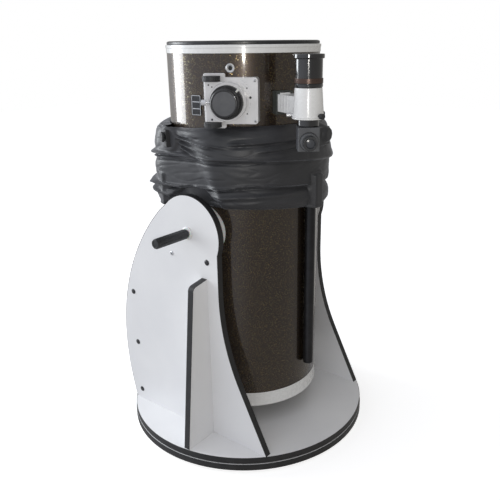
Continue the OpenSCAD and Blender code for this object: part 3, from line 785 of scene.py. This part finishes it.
def make_handle(side, node):
    """Ribbed grip with a dished end, a light washer and the stud."""
    low, high = box(node)
    z = (low.z + high.z) / 2
    washer_at = BOARD_OUT + 0.3
    grip_at = washer_at + 4
    stud_at = 182
    length = max(abs(low.x), abs(high.x)) - grip_at
    # Height, radius, and how deep the grooves are there
    sections = [
        (0, 8.6, 0), (0.4, 9.6, 0), (1.4, 10.2, 0), (3, 10.4, 0), (4.2, 11.4, 0.2), (7, 11.5, 1),
        (length - 8, 11.5, 1), (length - 5, 11.4, 0.6), (length - 2.2, 11.2, 0.35),
        (length - 0.6, 10.6, 0.2), (length, 9.4, 0.1), (length, 7.4, 0), (length - 0.9, 6.8, 0),
        (length - 0.9, 0, 0)
    ]
    mesh = bmesh.new()
    turns = [2 * math.pi * k / 96 for k in range(96)]
    rings = []
    for height, radius, depth in sections:
        ring = []
        for turn in turns:
            out = radius - max(0.0, math.cos(8 * turn)) ** 1.5 * 1.5 * depth
            ring.append(vertex(mesh, out * math.cos(turn), out * math.sin(turn), height))
        rings.append(ring)
    skin(mesh, rings)
    mesh.faces.new(list(reversed(rings[0])))
    grip = from_bmesh("fine_" + node, mesh, sideways(side, grip_at, TUBE_Y, z))
    finish_piece(grip, node)
    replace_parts(grip, node)
    washer = rounded([(0, 0, 0), (15, 0, 0.8), (15, 2.6, 1), (12, 4, 1), (0, 4, 0)], 0.5)
    place = sideways(side, washer_at, TUBE_Y, z)
    lathe("washer_" + node, washer, place, node, 96, "white_nylon")
    stud_long = washer_at - stud_at
    stud = rounded([(0, 0, 0), (6, 0, 1), (6, stud_long, 0), (0, stud_long, 0)], 0.5)
    place = sideways(side, stud_at, TUBE_Y, z)
    lathe("stud_" + node, stud, place, node, 48, "zinc_steel")


# ---- Upper cage ----

def make_upper_cage():
    make_rolled_tube("upper_cage")
    make_cage_ring()
    make_dust_cap()
    make_cage_screws()
    make_label()
    refine_all(
        3, truss_struts=0.8, cage_brackets=1.2, bracket_knobs=0.6, spider=0.3, secondary_holder=0.6,
        secondary_mirror=0.4
    )


def make_cage_ring():
    """White end ring with a rolled upper lip."""
    outer, tall, bottom = round_size("cage_top_ring")
    outline = rounded([
        (TUBE_R + 0.1, 0, 0.2), (outer - 1.0, 0, 0.8), (outer - 1.0, tall - 7, 0.6),
        (outer, tall - 6, 0.8), (outer, tall, 2), (TUBE_R - 4, tall, 1),
        (TUBE_R - 4, tall - 8, 0.6), (TUBE_R - 1.6, tall - 8, 0.2),
        (TUBE_R - 1.6, tall - 2.9, 0), (TUBE_R + 0.1, tall - 2.9, 0)
    ], 0.4)
    turned("cage_top_ring", outline, on_tube_axis(bottom))


def make_dust_cap():
    """Moulded cap: a raised rim, a dished face with two ribs, and a skirt inside the ring."""
    outer, tall, bottom = round_size("dust_cap")
    brim = box("cage_top_ring")[1].z + 0.3 - bottom
    skirt = outer - 4
    face = tall - 3
    ribs = []
    for share in (0.62, 0.24):
        ribs += [(share * outer, face, 1), ((share - 0.01) * outer, tall - 1.8, 1),
                 ((share - 0.03) * outer, tall - 1.8, 1), ((share - 0.04) * outer, face, 1)]
    outline = rounded([
        (skirt - 3, 0, 0.6), (skirt, 0, 1), (skirt, brim, 0.8), (outer, brim, 1.2), (outer, tall - 2.4, 1),
        (outer - 2, tall - 1, 1.6), (outer - 5, tall, 1.6), (outer - 13, tall, 1.5), (outer - 16, face, 1.5)
    ] + ribs + [(0, face, 0), (0, brim + 1, 0), (skirt - 3, brim + 1, 1)], 0.5)
    turned("dust_cap", outline, on_tube_axis(bottom))


def cross_head(name, place, like, radius, height):
    """A low domed screw head with a dark cross on it, painted shade in place of the cross recess."""
    outline = [(0, 0), (radius, 0)] + domed(radius, 0.3 * height, 0.7 * height) + [(0, height)]
    bar = box_outline(1.15 * radius, 0.24 * radius, 0.08 * radius)
    top = place @ shift(0, 0, 0.86 * height) @ spin(25)
    return [lathe(name, outline, place, like, 40)] + painted_cross_shade(top, like, bar, 0.16 * height)


def make_cage_screws():
    """Four vane screws in dished washers, and the four screws of the focuser's flange."""
    pieces = []
    vane_z = middle("spider").z + 1
    for k in range(4):
        place = facing(FOCUSER_ANGLE + 90 * k, TUBE_R, vane_z)
        washer = rounded([(4.6, 0, 0), (9.5, 0, 0.4), (9.5, 1.4, 0.6),
                          (8.6, 2.2, 0.5), (7.2, 2.2, 0.4), (5.2, 0.9, 0.5),
                          (4.6, 0.9, 0.2)], 0.3)
        pieces.append(lathe("vane_washer_%d" % k, washer, place, "cage_screws", 72))
        screw = rounded([(0, 0, 0), (4.5, 0, 0), (4.5, 1.5, 0.8), (2.4, 1.9, 0.2),
                         (2.0, 0.7, 0.2), (0, 0.7, 0)], 0.2)
        pieces.append(lathe("vane_screw_%d" % k, screw, place, "cage_screws", 48, "black_alloy"))
    flange = middle("focuser_base")
    for low, high in solid_boxes("cage_screws"):
        centre = (low + high) / 2
        if (centre - flange).length < 100 and abs(centre.z - flange.z) < 50:
            place = facing(FOCUSER_ANGLE, out_along(centre) - 0.8, FOCUSER_Z)
            local = place.inverted() @ (centre * MM) / MM
            spot = place @ shift(local.x, local.y, 0)
            pieces += cross_head("flange_screw_%d" % len(pieces), spot, "cage_screws", 3.2, 1.6)
    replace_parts(join(pieces, "fine_cage_screws"), "cage_screws")


def rim(name, outer, inner, depth, place, like, material):
    """A flat frame between two outlines with as many points."""
    mesh = bmesh.new()
    rings = [
        [vertex(mesh, x, y, height) for x, y in outline]
        for outline, height in ((outer, 0), (outer, depth), (inner, depth), (inner, 0))
    ]
    skin(mesh, rings + rings[:1])
    piece = from_bmesh(name, mesh, place)
    finish_piece(piece, like, material)
    return piece


def make_label():
    """Blank plate: a pale border around three plain dark panels."""
    low, high = box("label_plate")
    centre = (low + high) / 2
    angle = angle_of(centre.x, centre.y - TUBE_Y)
    tall = high.z - low.z
    wide = 26
    place = facing(angle, 178.7, centre.z)
    plate = prism("fine_label_plate", box_outline(wide, tall, 3), 1.3, place, "label_plate", 0.4)
    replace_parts(plate, "label_plate")
    lift = place @ shift(0, 0, 1.25)
    outer = box_outline(wide - 1.6, tall - 1.6, 2.4)
    inner = box_outline(wide - 3.6, tall - 3.6, 1.8)
    rim("label_border", outer, inner, 0.15, lift, "label_plate", "zinc_steel")
    bars = []
    for k, side in enumerate((-1, 1)):
        spot = lift @ shift(0, side * tall / 6, 0)
        bars.append(prism("label_divider_%d" % k, box_outline(wide - 6, 1.6, 0.7), 0.15, spot,
                          "label_plate", material="zinc_steel"))
    join(bars, "label_dividers")


# ---- Focuser ----

def out_along(point):
    """How far a point is from the tube's axis in the focuser's direction."""
    return (point - TUBE_AXIS).dot(FOCUSER_AXIS)


def outer_face(node):
    """How far from the tube's axis a focuser piece ends."""
    return max(out_along(vert.co / MM) for vert in frame["nodes"][node].data.vertices)


def make_focuser():
    refine_all(3, focuser_base=1.3, focuser_body=1.0)
    refine_all(2, focus_knobs=0.45, drawtube_lock_screw=0.35)
    make_drawtube()
    make_plug()
    make_focuser_details()


def make_drawtube():
    """Bright tube with a black collar at its outer end, and a white index mark on the collar."""
    piece = refined("drawtube", 0.5)
    piece.data.materials.append(MATERIALS["black_alloy"])
    collar = outer_face("focuser_body")
    for face in piece.data.polygons:
        if out_along(face.center / MM) > collar:
            face.material_index = 1
    place = facing(FOCUSER_ANGLE, outer_face("drawtube") - 8.1, FOCUSER_Z)
    mark = place @ spin(45) @ shift(33, 0, 0)
    prism("collar_index_mark", box_outline(10.4, 4, 1.2), 0.8, mark, "drawtube", 0.3,
          "white_nylon")


def make_plug():
    """Round plug with a stepped rim, a flat grey face and a small pale dot near the rim, a painted highlight."""
    radius = (box("focuser_plug")[1].z - box("focuser_plug")[0].z) / 2
    place = facing(FOCUSER_ANGLE, outer_face("drawtube") + 0.5, FOCUSER_Z)
    outline = rounded([
        (0, 0, 0), (radius - 1, 0, 0.5), (radius, 1.5, 0.8), (radius, 9, 1.2),
        (radius - 2.4, 12.6, 1.2), (radius - 4.4, 13, 0.8),
        (radius - 5.2, 12.2, 0.4), (0, 12.2, 0)
    ], 0.5)
    turned("focuser_plug", outline, place, 144)
    inner = radius - 5.2
    disc = rounded([(0, 0, 0), (inner, 0, 0), (inner, 0.5, 0.4), (0, 0.8, 0)], 0.3)
    lathe("plug_face", disc, place @ shift(0, 0, 12.1), "focuser_plug", 144,
          "diagonal_plastic")
    # A bright metal dot near the rim: painted highlight.
    dot = [(0, 0), (1.4, 0), (1.2, 0.4), (0, 0.5)]
    spot = place @ spin(32) @ shift(radius - 3.4, 0, 12.6)
    lathe("plug_highlight_dot", dot, spot, "focuser_plug", 32, "zinc_steel")


def make_focuser_details():
    """Small pale screws in the flange and the body, black discs there that paint the shade of holes, and faint
    arcs of bright metal laid on the flange that paint the light and shade of turned grooves.
    """
    flange = outer_face("focuser_base")
    body = flange + 26
    # The black spots are painted shade standing for holes; the zinc spots are screw heads.
    spots = [
        (flange, 44, 7, 2.6, "black_alloy"), (flange, 37, 26, 1.5, "black_alloy"),
        (flange, 37, -26, 1.5, "black_alloy"), (flange, 34, -33, 2.4, "zinc_steel"),
        (body, -38, 34, 1.7, "black_alloy"), (body, -31, 30, 1.4, "black_alloy"),
        (body, -33, -35, 2.2, "black_alloy"), (body, -41, -35, 1.1, "zinc_steel"),
    ]
    for k, (out, x, y, radius, finish) in enumerate(spots):
        place = facing(FOCUSER_ANGLE, out - 0.1, FOCUSER_Z) @ shift(x, y, 0)
        dome = rounded([(0, 0, 0), (radius, 0, 0), (radius, 0.35, 0.3), (0, 0.45, 0)],
                       0.2)
        like = "focuser_base" if out == flange else "focuser_body"
        lathe("focuser_spot_%d" % (k + 1), dome, place, like, 32, finish)
    # Thin raised arcs of bright metal: painted light and shade of turned grooves, which are not cut.
    for k, (radius, start, end) in enumerate(((44, -42, 54), (49, 18, 62))):
        turns = [math.radians(start + (end - start) * step / 40) for step in range(41)]
        outline = [(radius * math.cos(t), radius * math.sin(t)) for t in turns]
        radius += 0.7
        outline += [(radius * math.cos(t), radius * math.sin(t)) for t in reversed(turns)]
        place = facing(FOCUSER_ANGLE, flange - 0.05, FOCUSER_Z)
        prism("flange_arc_%d" % (k + 1), outline, 0.12, place, "focuser_base",
              material="zinc_steel")


# ---- Finder ----

def make_finder():
    refined("finder_shoe", 1.0, material="shoe")
    refined("finder_bracket", 1.2)
    make_diagonal()
    refine_all(2, finder_screw_front=0.35, finder_screw_side=0.35)
    refined("finder_plunger", 0.5)
    make_finder_tube()
    make_objective()
    make_eyepiece()
    make_bracket_ribs()


def eyepiece_place():
    """On the finder's axis, with local Z out through the eyepiece."""
    axis = Vector(JOINT["finder_focus_turn"]["axis"])
    if axis.xy.dot(middle("finder_eyepiece").xy - FINDER.xy) < 0:
        axis = -axis
    aim = axis.to_track_quat("Z", "Y").to_matrix().to_4x4()
    return at_finder(middle("finder_eyepiece").z) @ aim, axis


def make_diagonal():
    """Prism housing: a rounded box with a socket for the eyepiece."""
    place, axis = eyepiece_place()
    low, high = box("finder_diagonal")
    side = 44
    stand = at_finder(low.z) @ spin(-angle_of(axis.x, axis.y))
    housing = prism("fine_finder_diagonal", box_outline(side, side, 3), high.z - low.z, stand,
                    "finder_diagonal", 1.4)
    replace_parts(housing, "finder_diagonal")
    reach = side / 2
    socket = rounded([(12.1, reach - 3, 0), (18, reach - 3, 0), (18, reach + 7, 1),
                      (17, reach + 10, 0.8), (12.1, reach + 10, 0.8)], 0.5)
    lathe("diagonal_socket", socket, place, "finder_diagonal", 96)
    # A thin raised black band at the socket's foot: painted shade where a groove would be.
    groove = rounded([(18, reach - 0.4, 0), (19.2, reach - 0.4, 0),
                      (19.2, reach + 0.3, 0.2), (18, reach + 0.3, 0)], 0.1)
    lathe("diagonal_groove_shade", groove, place, "finder_diagonal", 96, "black_alloy")


def make_finder_tube():
    """Optical tube with a stepped dew shield, a bronze ring and a rolled rim."""
    outer, tall, bottom = round_size("finder_tube")
    ring_top = box("finder_bracket")[1].z - bottom
    outline = rounded([
        (18, 0, 0.5), (20.5, 0, 0.8), (22, 2, 0.8), (22, 15, 0.6),
        (25, 17, 0.8), (25, ring_top, 0.6), (27.5, ring_top, 0.6),
        (27.5, ring_top + 1.5, 0.5), (28.5, ring_top + 2, 0.5),
        (28.5, ring_top + 7.5, 0.5), (27.5, ring_top + 8, 0.5),
        (27.5, tall - 9, 1), (31, tall - 8, 1.2), (31, tall, 1.6),
        (25.5, tall, 1.2), (25.5, ring_top + 4, 0.3), (23.5, ring_top + 4, 0.3),
        (23.5, 20, 0.3), (18, 20, 0.3)
    ], 0.4)
    turned("finder_tube", outline, at_finder(bottom), 144)
    band = rounded([(27.45, 0, 0), (28.9, 0, 0.6), (28.9, 9.4, 0.6),
                    (27.45, 9.4, 0)], 0.3)
    lathe("finder_ring_band", band, at_finder(bottom + ring_top + 8.6), "finder_tube", 144,
          "bronze")


def make_objective():
    """Cemented doublet: curved outside, flat behind."""
    radius, tall, bottom = round_size("finder_objective")
    outline = [(0, 0), (radius, 0), (radius, 0.45 * tall)]
    steps = 16
    for k in range(1, steps + 1):
        share = 1 - k / steps
        outline.append((radius * share, tall * (0.45 + 0.55 * (1 - share ** 2))))
    turned("finder_objective", outline, at_finder(bottom), 96)


def make_eyepiece():
    """Finder eyepiece: a black barrel with a ribbed rubber grip, and its eye lens."""
    place = eyepiece_place()[0]
    outline = [(9, 18), (12, 18), (12, 32.3), (14.2, 32.5)]
    for k in range(5):
        z = 34.5 + 2.6 * k
        outline += [(14.5, z), (14.5, z + 1.3), (13.9, z + 1.6), (13.9, z + 2.3)]
    outline += [(14.5, 48), (13.8, 50.3), (9.6, 50.3), (9, 49.4), (9, 31)]
    turned("finder_eyepiece", rounded(outline, 0.25, 2), place, 96)
    glass = [(0, 40), (8.9, 40), (8.9, 47), (6.2, 47.5), (3.2, 47.8), (0, 47.9)]
    lathe("finder_eye_lens", glass, place, "finder_eyepiece", 64, "eye_glass")


def make_bracket_ribs():
    """Fine vertical ribs on the stalk's sides."""
    z = middle("finder_shoe").z
    rib = box_outline(2, 33, 0.9)
    pieces = []
    for side in (-1, 1):
        for k in range(4):
            spot = facing(FINDER_ANGLE, 204 + 12 * k, z) @ spin(side * 90, "Y") @ shift(0, 0.3, 18.8)
            pieces.append(prism("bracket_rib_%d_%d" % (side + 1, k), rib, 0.8, spot, "finder_bracket", 0.3))
    join(pieces, "bracket_ribs")


# ---- Shroud ----

SHROUD_STEPS = 360
SHROUD_ROWS = 168
STRUT_ANGLES = (0, 120, 240)
SHOWN_KNOB = 120           # the strut whose bracket knob stands outside the cloth
BLOCK_FACE = 209           # mm from the tube's axis to the outer face of a clamp or bracket
CLAMP_Z = 649              # middle heights of the clamps, lock knobs, brackets and bracket knobs
LOCK_KNOB_Z = 646
BRACKET_Z = 767
KNOB_Z = 770
KNOB_OUT = 8               # mm that a knob stands out from its block
KNOB_ACROSS = 34           # mm that a bracket knob sits to the right of its strut
HEM_ROWS = 12              # rows at each edge of the cloth that stay smooth
TOP_ROWS = 9
POST_LIMIT = 182.5         # half the width that the altitude posts leave
POST_SWEEP = (101, 108)    # mm from the altitude axis where the posts stop and only the boards limit
BOARD_ROOM = 14            # mm more on each side between the boards
OVER_BOARDS = 27           # mm more where the boards never come
BACK_LIMIT = 220           # radius at the back, where the front board's edge passes
FOLD_ROOM = 5              # mm that the folds stand out where the boards limit the cloth

# Folds that run around the sleeve. Each follows a line of shroud_lines and has a start and an end, as
# degrees to the left of the view's middle and mm above the line, then its height and width in mm.
LONG_FOLDS = (
    ("upper", (104, 6), (8, -1), 7.0, 3.0),
    ("upper", (92, -6), (-12, -5), 6.0, 2.6),
    ("upper", (30, -2), (-70, 6), 2.8, 3.0),
    ("lower", (104, 6), (22, -6), 7.5, 3.0),
    ("lower", (86, 0), (-16, 5), 7.0, 2.6),
    ("lower", (98, -8), (32, -34), 7.5, 3.2),
    ("lower", (84, -14), (42, -40), 6.0, 2.6),
    ("lower", (10, 8), (-66, 10), 3.2, 3.0),
    ("hem", (28, 24), (-60, 44), 3.4, 4.4),
    ("top", (54, -18), (6, -44), 5.6, 2.8),
    ("top", (52, -30), (14, -60), 5.0, 2.6),
    ("top", (50, -40), (24, -72), 4.8, 2.6),
    ("top", (50, -12), (26, -18), 4.4, 2.4),
    ("top", (14, -34), (-64, -24), 3.2, 3.0),
    ("top", (-4, -50), (-72, -34), 2.8, 2.8),
)


def ease(value, low, high):
    """0 below low, 1 above high, and a smooth step between."""
    t = min(1.0, max(0.0, (value - low) / (high - low)))
    return t * t * (3 - 2 * t)


def near(angle, centre, width):
    """1 in a direction around the tube, falling off to 0 away from it."""
    gap = (angle - centre + 180) % 360 - 180
    return math.exp(-(gap / width) ** 2)


def shroud_lines(angle):
    """Heights of the top edge, the two creases and the hem in one direction, in mm."""
    turn = math.radians(angle - VIEW_ANGLE)
    front = max(0.0, math.cos(turn))
    left = math.sin(turn)
    top = 799 - 8 * near(angle, 100, 22) - 7 * near(angle, 140, 16) + 3 * near(angle, 320, 25)
    upper = 713 + 8 * left + 19 * front
    lower = 653 + 4 * left + 15 * front * near(angle, 40, 60)
    hem = 601 + 21 * math.cos(math.radians(angle - 72)) - 9 * near(angle, 120, 14)
    return top, upper, lower, hem


def shroud_section(angle):
    """Points of the gathered cloth in one direction, from the top edge to the hem: (radius, height)."""
    top, upper, lower, hem = shroud_lines(angle)
    slack = 0.5 + 0.5 * math.sin(math.radians(angle - VIEW_ANGLE))
    lip = near(angle, 140, 55)

    def between(loose, tight):
        return tight + (loose - tight) * slack

    return [
        (180.5, top),
        (between(188, 184), top + 0.5),
        (between(209, 190), top - 7),
        (between(216, 200), top - 22),
        (between(219, 208), upper + 26),
        (between(220, 214), upper + 8),
        (between(221, 213) + 6 * lip, upper + 1),
        (between(219, 206), upper - 5),
        (between(221, 205), upper - 24),
        (between(221, 205), lower + 24),
        (between(220, 203), lower + 8),
        (between(222, 193) + 6 * lip, lower + 1),
        (between(220, 198), lower - 7),
        (between(223, 205), lower - 20),
        (between(220, 204), hem + 14),
        (between(209, 195), hem + 1),
        (187, hem + 1.5),
        (180.8, hem + 7),
    ]


def smoothed(p, q, r, s, t):
    """A point of the smooth curve between q and r."""
    return 0.5 * (
        2 * q + (r - p) * t + (2 * p - 5 * q + 4 * r - s) * t ** 2 + (3 * q - p - 3 * r + s) * t ** 3
    )


def spline(points, count):
    """Evenly spread samples of a smooth curve through 2-D points."""
    knots = [points[0]] + points + [points[-1]]
    curve = []
    for a, b, c, d in zip(knots, knots[1:], knots[2:], knots[3:]):
        for k in range(12):
            curve.append(tuple(smoothed(p, q, r, s, k / 12) for p, q, r, s in zip(a, b, c, d)))
    curve.append(points[-1])
    lengths = [0.0]
    for first, second in zip(curve, curve[1:]):
        lengths.append(lengths[-1] + math.dist(first, second))
    samples = []
    piece = 0
    for k in range(count):
        target = lengths[-1] * k / (count - 1)
        while piece < len(curve) - 2 and lengths[piece + 1] < target:
            piece += 1
        part = (target - lengths[piece]) / max(1e-9, lengths[piece + 1] - lengths[piece])
        part = min(1.0, part)
        samples.append(tuple(p + (q - p) * part for p, q in zip(curve[piece], curve[piece + 1])))
    return samples


def plateau(value, centre, half, fall):
    """1 within half of the centre, easing to 0 over the fall."""
    return 1 - ease(abs(value - centre), half, half + fall)


def beside_strut(angle, strut):
    """Degrees by which a direction is to the right of a strut, and the mm across its block's face."""
    right = (strut - angle + 180) % 360 - 180
    right = max(-60, min(60, right))
    return right, BLOCK_FACE * math.tan(math.radians(right))


def hard_parts(angle, z):
    """Radius in mm that the cloth has to clear: tube, struts, blocks and knobs."""
    tube = 180
    reach = tube + 0.2
    for strut in STRUT_ANGLES:
        right, across = beside_strut(angle, strut)
        face = BLOCK_FACE / math.cos(math.radians(right)) - tube
        clamp = plateau(across, 0, 18.5, 16) * plateau(z, CLAMP_Z, 40, 14)
        bracket = plateau(across, 15.3, 33.5, 14) * plateau(z, BRACKET_Z, 20, 4)
        reach = max(
            reach,
            tube + 25 * plateau(across, 0, 12.5, 12),
            tube + face * max(clamp, bracket),
            tube + (face + KNOB_OUT) * plateau(across, 0, 12, 20) * plateau(z, LOCK_KNOB_Z, 36, 16),
        )
        if strut != SHOWN_KNOB:
            gap = math.hypot(across - KNOB_ACROSS, z - KNOB_Z)
            reach = max(reach, tube + (face + KNOB_OUT) * plateau(gap, 0, 12, 24))
    return reach


def long_folds(angle, z):
    """Height in mm of the long folds at one place: a ridge with a valley under it for each."""
    left = (angle - VIEW_ANGLE + 180) % 360 - 180
    lines = dict(zip(("top", "upper", "lower", "hem"), shroud_lines(angle)))
    height = 0.0
    for line, (start, first), (end, last), rise, width in LONG_FOLDS:
        t = (left - start) / (end - start)
        if not 0 < t < 1:
            continue
        middle_z = lines[line] + first + (last - first) * t
        away = (z - middle_z) / width
        body = math.exp(-away ** 2) - 0.9 * math.exp(-((away + 2.1) / 1.2) ** 2)
        height += rise * body * ease(t, 0, 0.12) * (1 - ease(t, 0.55, 1))
    return height


def wrinkle(angle, z):
    """Relief of the cloth in mm at one place: small level creases, a fine ripple and the long folds."""
    turn = math.radians(angle)
    around = Vector((math.cos(turn), math.sin(turn), 0))
    sway = 6 * noise.noise(around * 1.7 + Vector((3, 1, 7)))
    level = noise.noise(around * 2.6 + Vector((0, 0, (z + sway * 3) * 0.055)))
    crease = (1 - min(1, abs(level) * 2.2)) ** 4
    patch = 0.5 + 0.5 * noise.noise(around * 2.1 + Vector((5, 9, z * 0.012)))
    fine = noise.noise(around * 9 + Vector((1, 2, z * 0.11)))
    return 1.6 * level * patch - 2.0 * crease * patch + 0.6 * fine + long_folds(angle, z)


def soft_min(first, second, width):
    """The smaller of two values, with the corner between them rounded over a width."""
    share = max(0.0, min(1.0, 0.5 + 0.5 * (second - first) / width))
    return second + (first - second) * share - width * share * (1 - share)


def board_limit(turn, radius, z):
    """Radius in mm that the cloth has to stay within, so that the tube can tilt between the boards.

    Low down the cloth passes inside the altitude posts, higher up inside the boards. It may bulge
    over the boards only where their sloping edge does not reach when the tube is level.
    """
    forward = -radius * math.cos(turn)
    up = z - ALTITUDE_Z
    from_axis = math.hypot(forward, up)
    lean = math.degrees(math.atan2(forward, up))
    # Where the boards' sloping edge lies at this distance, in degrees of lean, from their outline
    edge = 0.756 * (min(from_axis, 140) - 99) - 37 + 0.32 * max(0, from_axis - 140)
    half_width = POST_LIMIT + BOARD_ROOM * ease(from_axis, *POST_SWEEP)
    half_width += OVER_BOARDS * ease(edge - lean, 2, 42) * ease(from_axis, 106, 130)
    return half_width / max(1e-6, abs(math.sin(turn)))


def shroud_point(angle, radius, z, row):
    """Adds the wrinkles, and keeps the cloth off the hard parts and out of the side boards' way."""
    turn = math.radians(angle)
    depth = ease(row, 0, TOP_ROWS) * (1 - ease(row, SHROUD_ROWS - HEM_ROWS, SHROUD_ROWS - 1))
    limit = board_limit(turn, radius, z)
    radius = soft_min(radius, limit - FOLD_ROOM, 14) + wrinkle(angle, z) * depth
    right, across = beside_strut(angle, SHOWN_KNOB)
    under_knob = (BLOCK_FACE + 1) / math.cos(math.radians(right))
    hold = plateau(math.hypot(across - KNOB_ACROSS, z - KNOB_Z), 0, 16, 26)
    radius += (under_knob - radius) * hold
    clear = hard_parts(angle, z) + 0.8
    if radius < clear and depth > 0:
        radius = clear
    radius -= max(0, radius - BACK_LIMIT) * near(angle, 180, 28)
    radius = min(radius, limit)
    return -radius * math.sin(turn), TUBE_Y - radius * math.cos(turn), z


def make_shroud():
    """Gathered sleeve of stretch cloth around the collapsed truss."""
    mesh = bmesh.new()
    columns = []
    for step in range(SHROUD_STEPS):
        angle = 360 * step / SHROUD_STEPS
        section = spline(shroud_section(angle), SHROUD_ROWS)
        columns.append([
            vertex(mesh, *shroud_point(angle, radius, z, row)) for row, (radius, z) in enumerate(section)
        ])
    for column, following in zip(columns, columns[1:] + columns[:1]):
        for row in range(SHROUD_ROWS - 1):
            mesh.faces.new((column[row], column[row + 1], following[row + 1], following[row]))
    piece = from_bmesh("fine_truss_shroud", mesh)
    relax = piece.modifiers.new("relax", "SMOOTH")
    relax.factor = 0.4
    relax.iterations = 1
    cloth = piece.modifiers.new("cloth", "SOLIDIFY")
    cloth.thickness = 1.0 * MM
    cloth.offset = -1
    apply_modifiers(piece)
    finish_piece(piece, "truss_shroud", blended=True)
    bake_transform(piece)
    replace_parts(piece, "truss_shroud")


# ---- The rest of the CAD model keeps its shape and gets a finish ----

def finish_cad_nodes():
    for name, node in frame["nodes"].items():
        for slot in node.material_slots:
            slot.material = MATERIALS[SLOT_OF[name]]


make_camera()
make_world()
MATERIALS = make_materials()
make_floor()
soft_box("window_light", 161, 2.6, 1.25, 1.25, 1.7, 52, (0.93, 0.97, 1.0))
soft_box("lamp_by_camera", VIEW_ANGLE, 1.52, 0.945, 0.06, 0.07, 3.4, (1.0, 0.97, 0.92), 0.9)
finish_cad_nodes()
make_base()
make_lower_tube()
make_upper_cage()
make_focuser()
make_finder()
make_shroud()

bpy.context.scene.view_settings.view_transform = "Standard"
